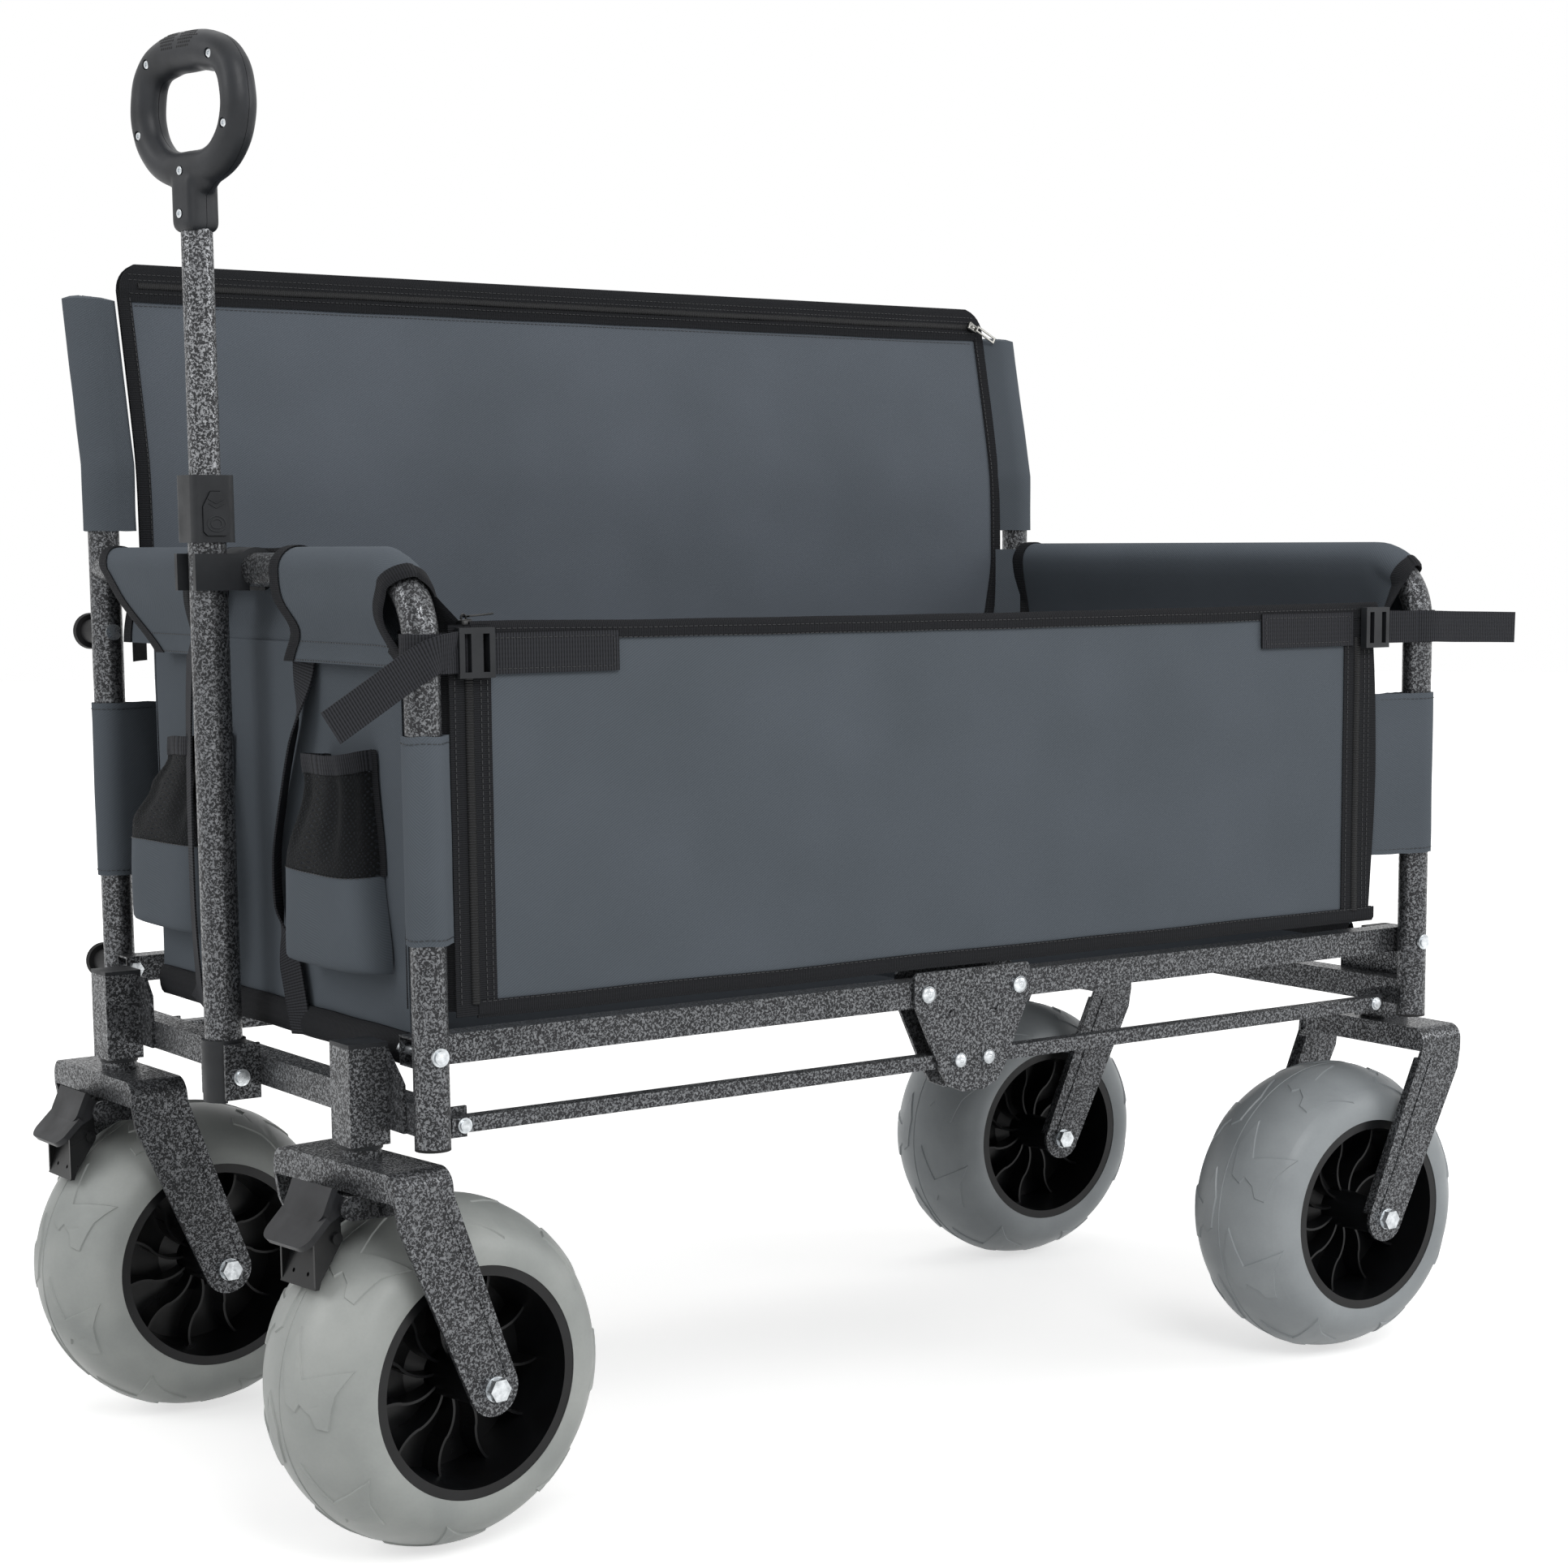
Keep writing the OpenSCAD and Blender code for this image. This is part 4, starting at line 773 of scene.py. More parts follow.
def hood_point(out, up, run, share):
    """Where the flap follows the bend: its outer side hangs to a hollow edge, its crest stops short, and its
    inner side is drawn straight to the corner of the near wall."""
    bend_y = NEAR + BEND_R
    turn = (HOOD_TURN + 0.08 * math.sin(math.pi * min(max((run - FLAP_DROP) / 51, 0), 1))) * share
    radius = BEND_R + max(up, -56)
    y, z = bend_y - radius * math.sin(turn), BAR_Z - BEND_R + radius * math.cos(turn)
    if run < FLAP_DROP:
        hollow = 44 - 18 * ease(run / 40) + 6 * ease((run - 45) / 20)
        y = bend_y - hollow * math.sin(turn) / math.sin(HOOD_TURN)
        z = mixed(BAR_Z - FLAP_DROP, BAR_Z - BEND_R + BEND_R * math.cos(turn), run / FLAP_DROP)
    point = Vector((out, y, z))
    if run > 90:
        crest_turn = 0.77 * share
        crest = Vector((0, bend_y - 66 * math.sin(crest_turn), BAR_Z - BEND_R + 66 * math.cos(crest_turn)))
        corner = Vector((-7.4, bend_y, BAR_Z - 60)).lerp(Vector((-33, NEAR + 2, WALL_Z1 - 2)), share)
        point = point.lerp(crest.lerp(corner, (run - 90) / 86), ease(share))
    if point.z > BAR_Z - BEND_R and point.y < bend_y:
        arm = Vector((0, point.y - bend_y, point.z - BAR_Z + BEND_R)).normalized() * BEND_R
        middle = Vector((0, bend_y + arm.y, BAR_Z - BEND_R + arm.z))
    elif point.y < bend_y:
        middle = Vector((0, NEAR, point.z))
    else:
        middle = Vector((0, point.y, BAR_Z))
    away = point - middle
    if away.length < HOOD_CLEAR:
        point = middle + away.normalized() * HOOD_CLEAR
    return point


def flap(sign, y_from, y_to, seed, hood=False, slant=False, hollow=False):
    """Cloth over a top bar from y_from to y_to. A hood follows the bend down to the near leg and its
    inner side runs to the corner of the near wall."""
    base = FRONT if sign < 0 else REAR
    bend_y = NEAR + BEND_R
    straight = y_from - (bend_y if hood else y_to)
    total = straight + (HOOD_RUN if hood else 0)

    def place(u, v):
        run = v * FLAP_RUN
        out, up = bar_section(v)
        start = 0.0
        if slant:
            start = 16 * ease((90 - run) / 30) + (1.36 * -up if out > 0 and up < 0 else 0)
        elif hollow and run < FLAP_DROP:
            start = 24 * math.exp(-((run - 24) / 17) ** 2)
        along = u * total
        y = y_from - along - start * max(0, 1 - along / max(straight, 1))
        out += 0.7 * wave(y, run, 70, seed)
        if along <= straight:
            low = min(max((-up - 4) / 60, 0), 1)
            sagging = 1.5 * math.sin(math.pi * along / max(straight, 1)) * low
            return (base + sign * (out - sagging), y, BAR_Z + up)
        point = hood_point(out, up, run, (along - straight) / HOOD_RUN)
        return (base + sign * point.x, point.y, point.z)
    return place


bar_flaps = {
    "near_front_flap": (-1, MID - 76, NEAR, 31, True, False, True, "front_frame", 40),
    "far_front_flap": (-1, FAR - 17, MID + 66, 37, False, True, False, "front_frame", 34),
    "rear_bar_flap": (1, FAR - 17, NEAR, 41, True, False, False, "rear_frame", 72),
}
for name, (sign, y_from, y_to, seed, hood, slant, hollow, body, columns) in bar_flaps.items():
    place = flap(sign, y_from, y_to, seed, hood, slant, hollow)
    piece = cloth(name, body, TWILL, "grey_fabric", place, columns, 40, held="folded", smooth=60)
    if name == "far_front_flap":
        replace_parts(piece, "front_flaps")
    if name == "rear_bar_flap":
        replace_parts(piece, "rear_flap")
    # The rear flap's inner side takes the painted-shade twill as its second material.
    piece.data.materials.append(TWILL_PAINTED_SHADE)
    base = FRONT if sign < 0 else REAR
    for cell in piece.data.polygons:
        centre = cell.center * 1000
        if sign > 0 and (centre.x - base) * sign < 0:
            cell.material_index = 1
    for edge, half in (("u0", 17), ("u1", 11)):
        cloth(f"{name}_binding_{edge}", body, BINDING, "grey_fabric", bound(place, edge, half), 60, 12,
              thick=0.7)
    hem_line = [Vector(place(k / 60, 0.085)) + Vector((sign * 0.8, 0, 0)) for k in range(2, 59)]
    thread_row(f"{name}_hem_stitch", body, hem_line)
    hem_edge = [Vector(place(k / 60, 0.008)) + Vector((sign * 0.8, 0, 0)) for k in range(2, 59)]
    thread_row(f"{name}_edge_stitch", body, hem_edge)


def clip_gap(u, v):
    y, z = MID + mixed(-75, 65, u), mixed(634, 707, v)
    x = FRONT + 8.2 + 6.6 * ease((z - END_HEAD_Z) / 34) + 0.8 * wave(y, z, 50, 43)
    return (x, y, z + 1.6 * wave(y, 0, 50, 44) * v)


cloth("clip_gap_cloth", "front_frame", TWILL, "grey_fabric", clip_gap, 24, 14)
cloth("clip_gap_binding", "front_frame", BINDING, "grey_fabric", bound(clip_gap, "v1", 5), 40, 8, thick=0.7)


# ------------------------------------------------------------------ corner tapes between the walls

def corner_tape(sign, side, z0, z1):
    base = FRONT if sign < 0 else REAR
    edge = (FRONT_EDGES if sign < 0 else REAR_EDGES)[0 if side < 0 else 1]
    wall = WALL_Y if side < 0 else back_low.y + 1.5
    inner = base - sign * (34 if side < 0 else 42)
    if sign > 0 and side < 0:
        inner, wall = WALL_X1 - 12, WALL_Y + 3

    def place(v, u):
        z = mixed(z0, z1, v)
        start = Vector((base - sign * 5.6, MID + edge - side * 3, z))
        end = Vector((inner, wall - side * 0.5, z))
        point = start.lerp(end, u)
        point.y += side * 1.6 * math.sin(math.pi * u) + 0.6 * wave(z, u * 30, 60, sign + side)
        return point
    return place


for name, sign, side, body, z0, z1 in (
        ("near_front_corner_tape", -1, -1, "front_frame", 390, 652),
        ("far_front_corner_tape", -1, 1, "front_frame", 386, 640),
        ("near_rear_corner_tape", 1, -1, "rear_frame", 390, 652),
        ("far_rear_corner_tape", 1, 1, "rear_frame", 386, 640)):
    tape = cloth(name, body, BINDING, "grey_fabric", corner_tape(sign, side, z0, z1), 32, 8, thick=0.9)
    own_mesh(tape)


def gusset(sign):
    """Cloth that closes the corner between a flap's far end and the edge of the backrest."""
    base = FRONT if sign < 0 else REAR

    def place(u, v):
        z = mixed(632 if sign > 0 else 616, 703, v)
        start = Vector((base - sign * (9 + 3 * ease((700 - z) / 30)), FAR - 24, z))
        end = Vector((base - sign * 33, BACK_LINE + 2.0, z))
        point = start.lerp(end, u)
        point.y += 2.0 * math.sin(math.pi * u) * (1 - v)
        return point
    return place


BACK_LINE = back_low.y + 1.5
for name, sign, body in (("front_corner_gusset", -1, "front_frame"), ("rear_corner_gusset", 1, "rear_frame")):
    cloth(name, body, TWILL if sign > 0 else BINDING, "grey_fabric", gusset(sign), 12, 14, thick=0.9)


# ------------------------------------------------------------------ sleeves round the legs and posts

def sleeve(x, y, reach, inboard, z0, z1, radius=14.4, seed=1.0, capped=False):
    """Cloth tube round a leg that closes into a tab pointing inboard."""
    fold = math.acos(radius / reach)
    tab = math.sqrt(reach * reach - radius * radius)
    loop = 2 * tab + radius * (2 * math.pi - 2 * fold)

    def place(u, v):
        run = u * loop
        if run < tab:
            k = run / tab
            a = Vector((reach, 0)).lerp(Vector((radius * math.cos(fold), radius * math.sin(fold))), k)
        elif run > loop - tab:
            k = (loop - run) / tab
            a = Vector((reach, 0)).lerp(Vector((radius * math.cos(fold), -radius * math.sin(fold))), k)
        else:
            angle = fold + (run - tab) / radius
            a = Vector((radius * math.cos(angle), radius * math.sin(angle)))
        z = mixed(z0, z1, min(v / 0.94, 1) if capped else v)
        shrink = 1.0
        if capped and v > 0.94:
            shrink = 1 - 0.9 * ((v - 0.94) / 0.06)
            z += 1.6 * (1 - shrink)
        lean = max(0.0, z - KINK_Z) * math.tan(LEAN)
        bulge = 1 + 0.03 * wave(a.x, z, 40, seed)
        return (x + inboard * a.x * shrink * bulge, y + a.y * shrink * bulge + lean,
                z + 0.8 * wave(a.x, a.y, 12, seed))
    return place


def sleeve_piece(name, body, x, y, reach, inboard, z0, z1, seed, weave=None, **more):
    place = sleeve(x, y, reach, inboard, z0, z1, seed=seed, **more)
    piece = cloth(name, body, weave or TWILL, "grey_fabric", place, 48, 30, held="folded", closed=True,
                  smooth=40)
    if not more.get("capped"):
        for share, row in ((0.03, "low"), (0.965, "high")):
            centre = Vector((x, y, 0))
            loop = []
            for k in range(41):
                point = Vector(place(0.02 + 0.96 * k / 40, share))
                away = Vector((point.x - x, point.y - y, 0)).normalized()
                loop.append(point + away * 0.8)
            thread_row(f"{name}_{row}_stitch", body, loop)
    return piece


near_front_sleeve = sleeve_piece("near_front_sleeve", "front_frame", FRONT, NEAR, 20, 1, 440, 582, 51,
                                 weave=HERRINGBONE)
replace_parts(near_front_sleeve, "front_sleeves")
sleeve_piece("far_front_sleeve", "front_frame", FRONT, FAR, 50, 1, 440, 582, 52)
near_rear_sleeve = sleeve_piece("near_rear_sleeve", "rear_frame", REAR, NEAR, 52, -1, 442, 580, 53)
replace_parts(near_rear_sleeve, "rear_sleeves")
sleeve_piece("far_rear_sleeve", "rear_frame", REAR, FAR, 28, -1, 440, 582, 54)
sleeve_piece("front_post_sleeve", "front_frame", FRONT, FAR, 28, 1, 722, 911, 55, capped=True, radius=15.4)
sleeve_piece("rear_post_sleeve", "rear_frame", REAR, FAR, 28, -1, 722, 911, 56, capped=True, radius=15.4)


# ------------------------------------------------------------------ webbing round the near legs

def leg_loop(x, inboard, buckle_x):
    """Route from the buckle round the leg and back to the buckle."""
    points = [(buckle_x, WALL_Y - 3.4, STRAP_Z)]
    for a in range(-78, -300, -24):
        turn = math.radians(a)
        points.append((x + inboard * 14.0 * math.cos(turn), NEAR + 14.0 * math.sin(turn), STRAP_Z))
    points.append((buckle_x - inboard * 1.0, WALL_Y + 1.5, STRAP_Z))
    return points


FRONT_BUCKLE = middle_x("front_buckle")
REAR_BUCKLE = middle_x("rear_buckle")
ribbon("front_strap_loop", "front_frame", leg_loop(FRONT, 1, FRONT_BUCKLE), 27, steps=64)
ribbon("rear_strap_loop", "rear_frame", leg_loop(REAR, -1, REAR_BUCKLE), 27, steps=64)
drop = math.tan(math.radians(32))
ribbon("front_strap_tail", "front_frame", [
    (FRONT + 26, WALL_Y - 5.4, STRAP_Z + 3), (FRONT + 4, NEAR - 16.6, STRAP_Z),
    (FRONT - 14, NEAR - 15.6, STRAP_Z - 9), (FRONT - 44, NEAR - 14.4, STRAP_Z - 9 - 30 * drop),
    (FRONT - 74, NEAR - 13.4, STRAP_Z - 9 - 60 * drop)], 24.5, across=(0.35, 0, 1), held="hung")
ribbon("rear_strap_tail", "rear_frame", [
    (REAR - 26, WALL_Y - 5.4, STRAP_Z), (REAR, NEAR - 16.6, STRAP_Z), (REAR + 30, NEAR - 15.2, STRAP_Z - 1),
    (REAR + 70, NEAR - 14.8, STRAP_Z - 2), (REAR + 106, NEAR - 14.6, STRAP_Z - 3)], 26.5, held="hung")


# ------------------------------------------------------------------ straps and pockets on the front wall

def wall_out(out):
    return FRONT + 5.5 - out


ribbon("far_front_webbing", "front_frame", [
    (-480, MID + 100, 650), (-486, MID + 88, 626), (-498, MID + 66, 575), (-506, MID + 51, 500),
    (-506, MID + 50, 425), (-494, MID + 70, 366), (-480, MID + 96, 350)],
    25, across=(0, 1, 0), held="hung", turn=lambda t: math.radians(16))
ribbon("near_front_webbing", "front_frame", [
    (-478, MID - 98, 648), (-478, MID - 96, 622), (-480, MID - 86, 586), (-480, MID - 70, 552),
    (-479, MID - 54, 517), (-479, MID - 43, 481), (-479, MID - 45, 440), (-479, MID - 60, 405),
    (-478, MID - 69, 372), (-475, MID - 70, 351)],
    25, across=(0, 1, 0), held="hung",
    turn=lambda t: math.radians(-12 + 50 * ease((t - 0.06) / 0.2) * ease((0.84 - t) / 0.16)))


def stepped(stops, z):
    """Value between the (height, value) stops at height z."""
    for (z0, a), (z1, b) in zip(stops, stops[1:]):
        if z <= z1:
            return mixed(a, b, ease((z - z0) / (z1 - z0)))
    return stops[-1][1]


POCKET_FOOT_Z, POCKET_NET_Z, POCKET_BAND_Z, POCKET_MOUTH_Z = 418, 480, 556, 568
POCKET_FLOOR = 0.16       # share of a pocket's cloth that is its floor


def pouch(near_side, far_side, seed):
    """Pocket on the front wall: u runs round it from its near edge to its far edge, v from its foot at the
    wall to its mouth."""
    def place(u, v):
        a = math.pi * (1 - u)
        c, s = math.cos(a), math.sin(a)
        power = 2 / 3.6
        width = math.copysign(abs(c) ** power, c)
        deep = abs(s) ** power
        if v < POCKET_FLOOR:
            k = v / POCKET_FLOOR
            z, depth = POCKET_FOOT_Z - 5 * math.sin(math.pi * k), 31 * math.sin(math.pi / 2 * k)
        else:
            z = mixed(POCKET_FOOT_Z, POCKET_MOUTH_Z, (v - POCKET_FLOOR) / (1 - POCKET_FLOOR))
            depth = stepped([(POCKET_FOOT_Z, 31), (POCKET_NET_Z, 32), (545, 25), (POCKET_MOUTH_Z, 27)], z)
            depth += 1.8 * math.sin(u * 30) * ease((z - POCKET_NET_Z) / 30) * ease((590 - z) / 60)
        y0, y1 = stepped(near_side, z), stepped(far_side, z)
        depth += 1.6 * wave(u * 160, z, 46, seed)
        tilt = -7 * u * ease((z - POCKET_NET_Z) / 70)
        return (wall_out(1.2 + depth * deep), MID + mixed(y0, y1, (1 + width) / 2),
                z + tilt + 3 * wave(u * 120, z, 70, seed + 3) * min(1, v * 4))
    return place


def part_of(place, v0, v1, out=0.0):
    def shown(u, v):
        point, along, up = near_by(place, u, mixed(v0, v1, v))
        face = along.cross(up)
        if face.length < 1e-6:
            return point
        return point - face.normalized() * out
    return shown


def pocket_share(z):
    """Where height z lies on a pocket's cloth, from its foot at the wall to its mouth."""
    return POCKET_FLOOR + (1 - POCKET_FLOOR) * (z - POCKET_FOOT_Z) / (POCKET_MOUTH_Z - POCKET_FOOT_Z)


def pocket(name, shape):
    mesh_v, band_v = pocket_share(POCKET_NET_Z), pocket_share(POCKET_BAND_Z)
    foot = cloth(f"{name}_foot", "front_frame", TWILL, "pocket_fabric", part_of(shape, 0, mesh_v), 56, 20,
                 held="hung")
    cloth(f"{name}_net", "front_frame", MESH, "pocket_fabric", part_of(shape, mesh_v - 0.01, band_v), 64, 16,
          held="hung", thick=0.5)
    cloth(f"{name}_elastic", "front_frame", WEBBING, "pocket_fabric",
          part_of(shape, band_v - 0.01, 1.0, 0.4), 64, 4, held="gathered", thick=1.6)
    for end, start in (("near", 0.0), ("far", 1.0)):
        def edge(v, u, start=start):
            point = Vector(shape(start, mixed(mesh_v, 1.0, v)))
            return (wall_out(1.4 + 2.6 * math.sin(math.pi * u)), point.y + (u - 0.5) * 8, point.z)
        cloth(f"{name}_{end}_edge", "front_frame", BINDING, "pocket_fabric", edge, 18, 6, thick=0.8)
    seam = [Vector(part_of(shape, mesh_v, mesh_v, 0.9)(k / 50, 0)) for k in range(2, 49)]
    thread_row(f"{name}_seam_stitch", "front_frame", seam)
    return foot


near_pocket = pocket("near_pocket", pouch([(418, -215), (487, -205), (557, -196), (570, -194)],
                                          [(418, -88), (480, -92), (550, -124), (570, -122)], 61))
pocket("far_pocket", pouch([(418, 64), (480, 60), (550, 48), (570, 46)],
                           [(418, 200), (492, 196), (528, 160), (556, 122), (570, 118)], 67))
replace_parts(near_pocket, "front_pockets")


# ------------------------------------------------------------------ backrest

BACK_Y = back_low.y + 1.5
BACK_HALF = back_high.x + 4
BACK_SHIFT = 4.0
BACK_TOP = back_high.z
BAND_Z = BACK_TOP - 31


def back_point(x, z, out=0.0):
    """Point of the backrest, out toward the seat."""
    lean = math.tan(LEAN) * (math.sqrt((z - KINK_Z) ** 2 + 500) + z - KINK_Z) / 2 - 0.25
    span = min(max((x + BACK_HALF) / (2 * BACK_HALF), 0), 1)
    belly = 3.4 * math.sin(math.pi * span) * ease((z - 380) / 200) * ease((BACK_TOP + 30 - z) / 160)
    rough = 1.7 * wave(x, z, 210, 71) + 0.7 * wave(x, z, 75, 73)
    drawn_in = 1 - 0.026 * ease((700 - z) / 90)
    y = BACK_Y + lean + belly + rough * min(1, (BACK_HALF - abs(x)) / 60) - out
    return (x * drawn_in + BACK_SHIFT, y, z)


def back_half(z):
    high = BACK_TOP - 24
    return BACK_HALF - (24 * (1 - math.sqrt(max(0, 1 - ((z - high) / 24.5) ** 2))) if z > high else 0)


# The backrest cloth takes the painted-lighter twill.
back_cloth = cloth("backrest_cloth", "front_frame", TWILL_PAINTED_LIGHT, "grey_fabric",
                   lambda u, v: back_point(mixed(4 - BACK_HALF, BACK_HALF - 4, u), mixed(358, BAND_Z + 4, v)),
                   96, 54)
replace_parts(back_cloth, "back_panel")


def band(u, v):
    side = 2 * v - 1
    depth = abs(side)
    z = BACK_TOP - 0.8 - 31 * max(0, depth - 0.12) / 0.88
    thick = 3.6 * math.sqrt(min(1, depth * 4)) + 0.6 * wave(u * 900, depth * 20, 50, 77) * min(1, depth * 4)
    x = back_half(z) * (2 * u - 1)
    foot = 1.6 * wave(x, 4, 130, 79) * depth ** 3
    thinned = 1.0 if depth < 0.7 else mixed(1, 0.5, (depth - 0.7) / 0.3)
    return back_point(x, z + foot, thick * (1 if side < 0 else -1) * thinned)


back_trim = [cloth("backrest_band", "front_frame", BINDING, "grey_fabric", band, 96, 20, held="folded",
                   thick=0.9)]


def band_coil(u, v):
    a = math.pi * v
    x = mixed(-BACK_HALF + 16, BACK_HALF - 14, u)
    point = Vector(back_point(x, BACK_TOP - 18.5 + 2.8 * math.cos(a) + 0.8 * wave(x, 1, 90, 81), 3.8))
    point.y -= 1.4 * math.sin(a)
    return point


back_trim.append(cloth("backrest_zip_coil", "front_frame", COIL, "grey_fabric", band_coil, 120, 6, thick=0.4,
                       declare=False))
for row, drop_z in enumerate((9.0, 13.5, 24.5)):
    back_trim.append(thread_row(f"backrest_band_stitch_{row + 1}", "front_frame", [
        back_point(mixed(8 - BACK_HALF, BACK_HALF - 8, k / 80), BACK_TOP - drop_z, 4.4 - 0.1 * row)
        for k in range(81)], material=THREAD_DARK))
back_trim.append(thread_row("backrest_top_seam", "front_frame", [
    back_point(mixed(12 - BACK_HALF, BACK_HALF - 12, k / 80), BAND_Z - 3.5, 0.9) for k in range(81)]))
for end, sign in (("front", -1), ("rear", 1)):
    def side_tape(u, v, sign=sign):
        z = mixed(388, BACK_TOP - 22, u)
        turn = 2 * v - 1
        x = sign * (BACK_HALF - 4.5 - 5.5 * turn * sign)
        return back_point(x, z, 1.6 + 1.0 * (1 - turn * turn))
    back_trim.append(cloth(f"backrest_{end}_tape", "front_frame", BINDING, "grey_fabric", side_tape, 60, 6,
                           thick=0.9))

    def rear_tape(u, v, sign=sign):
        z = mixed(388, BACK_TOP - 22, u)
        return back_point(sign * (BACK_HALF - 4.5 - 5.5 * (2 * v - 1) * sign), z, -1.5)
    back_trim.append(cloth(f"backrest_{end}_tape_behind", "front_frame", BINDING, "grey_fabric", rear_tape,
                           60, 4, thick=0.9))
    back_trim.append(thread_row(f"backrest_{end}_tape_stitch", "front_frame", [
        back_point(sign * (BACK_HALF - 8.4), mixed(392, BACK_TOP - 26, k / 70), 3.0) for k in range(71)],
        material=THREAD_DARK))
for piece in [back_cloth] + back_trim:
    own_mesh(piece)


# ------------------------------------------------------------------ zip sliders

def zip_slider(name, body, place, way, down, material=None):
    """Die-cast slider with its pull: a waisted body, a bridge and a long tab with a slot."""
    deselect()
    bpy.ops.mesh.primitive_cube_add(size=1, scale=(0.011, 0.0085, 0.005))
    body_piece = bpy.context.active_object
    bpy.ops.object.transform_apply(location=False, rotation=True, scale=True)
    for vertex in body_piece.data.vertices:
        if vertex.co.x > 0:
            vertex.co.y *= 0.72
    modify(body_piece, "BEVEL", width=0.0014, segments=3)
    deselect()
    bpy.ops.mesh.primitive_torus_add(major_radius=0.0024, minor_radius=0.0008, major_segments=20,
                                     minor_segments=8, location=(0, 0, 0.0034), rotation=(math.pi / 2, 0, 0))
    bridge = bpy.context.active_object
    deselect()
    bpy.ops.mesh.primitive_cube_add(size=1, location=(0.0145, 0, 0.0042), scale=(0.024, 0.0068, 0.0014))
    tab = bpy.context.active_object
    bpy.ops.object.mode_set(mode="EDIT")
    bpy.ops.mesh.select_all(action="DESELECT")
    shape = bmesh.from_edit_mesh(tab.data)
    for face in shape.faces:
        face.select = abs(face.normal.z) > 0.9
    bmesh.update_edit_mesh(tab.data)
    bpy.ops.mesh.inset(thickness=0.0019, use_individual=True)
    bpy.ops.mesh.bridge_edge_loops()
    bpy.ops.object.mode_set(mode="OBJECT")
    bpy.ops.object.transform_apply()
    modify(tab, "BEVEL", width=0.0004, segments=2)
    merged([body_piece, bridge, tab])
    axis_x = Vector(way).normalized()
    axis_z = Vector(down) - axis_x * Vector(down).dot(axis_x)
    axis_z.normalize()
    turn = Matrix((axis_x, axis_z.cross(axis_x), axis_z)).transposed()
    body_piece.matrix_world = Matrix.Translation(Vector(place) / 1000) @ turn.to_4x4()
    return settle(body_piece, name, body, material or NICKEL, "zinc", smooth=35)


zip_slider("backrest_zip_slider", "rear_frame", Vector(back_point(BACK_HALF - 14, BACK_TOP - 19, 7.0)),
           (0.86, -0.1, -0.5), (0.1, -1, 0.1))
front_pull = Vector((WALL_X0 + 2, WALL_Y + 3.0, WALL_Z1 + 1.0))
zip_slider("front_zip_slider", "near_wall", front_pull, (0.9, 0.3, 0.05), (0, 0.1, 1), ENAMEL)


# ------------------------------------------------------------------ floor boards

def floor_board(name, node, body, slack):
    """Board in a padded cover: a slab whose cover is blown up a little over the foam."""
    low, high = corners(node)
    middle = (low + high) / 2
    size = high - low
    deselect()
    bpy.ops.mesh.primitive_cube_add(size=1, location=middle / 1000,
                                    scale=((size.x - 8) / 1000, (size.y - 8) / 1000, (size.z - 5) / 1000))
    piece = bpy.context.active_object
    bpy.ops.object.transform_apply()
    modify(piece, "BEVEL", width=0.004, segments=3)
    modify(piece, "REMESH", mode="VOXEL", voxel_size=0.006, use_smooth_shade=True)
    before = [v.co.copy() for v in piece.data.vertices]
    simulated = piece.modifiers.new("cloth", "CLOTH")
    settings = simulated.settings
    settings.quality = 5
    settings.mass = 0.25
    settings.use_pressure = True
    settings.uniform_pressure_force = 4
    settings.effector_weights.gravity = 0
    simulated.point_cache.frame_start, simulated.point_cache.frame_end = 1, 20
    for k in range(1, 21):
        bpy.context.scene.frame_set(k)
    pick(piece)
    bpy.ops.object.modifier_apply(modifier=simulated.name)
    bpy.context.scene.frame_set(1)
    mesh = piece.data
    rows = [middle.y / 1000 + k * size.y / 4000 for k in (-1, 0, 1)]
    for vertex, start in zip(mesh.vertices, before):
        move = vertex.co - start
        if move.length > 0.0035:
            move *= 0.0035 / move.length
        vertex.co = start + move
        spread = 1 - abs(start.x - middle.x / 1000) / (size.x / 2000)
        side = 1 if start.z > middle.z / 1000 else -1
        spread_y = 1 - abs(start.y - middle.y / 1000) / (size.y / 2000)
        puff = 0.0022 * min(1, spread * 7) * min(1, spread_y * 8)
        groove = max(math.exp(-((start.y - y) / 0.006) ** 2) for y in rows)
        vertex.co.z += side * (puff * (1 - groove) + 0.0006 * wave(start.x * 1000, start.y * 1000, 60, slack))
        vertex.co.z = min(max(vertex.co.z, (low.z - 1) / 1000), (high.z + 2) / 1000)
    modify(piece, "SUBSURF", levels=1, render_levels=1)
    settle(piece, name, body, PADDING, "padding", 60)
    for k, y in enumerate(rows):
        thread_row(f"{name}_channel_{k + 1}", body, [
            (mixed(low.x + 8, high.x - 8, t / 40), y * 1000, high.z - 1.3) for t in range(41)])
    return piece


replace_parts(floor_board("front_floor_pad", "front_floor", "front_rails", 3), "front_floor")
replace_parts(floor_board("rear_floor_pad", "rear_floor", "rear_rails", 9), "rear_floor")


# ------------------------------------------------------------------ tyre tread

CROWN_R, SHOULDER_R, SHOULDER_A = 75.0, 26.5, math.radians(39.7)
# one lug laid flat: (round the tyre, from its middle)
LUG = [(0, 12), (36, 24), (22, 62), (46, 50), (74, 44), (72, 34), (62, 30), (56, 22), (62, 18), (56, 8),
       (28, 4)]
LUGS = 8
TYRE_R = 126


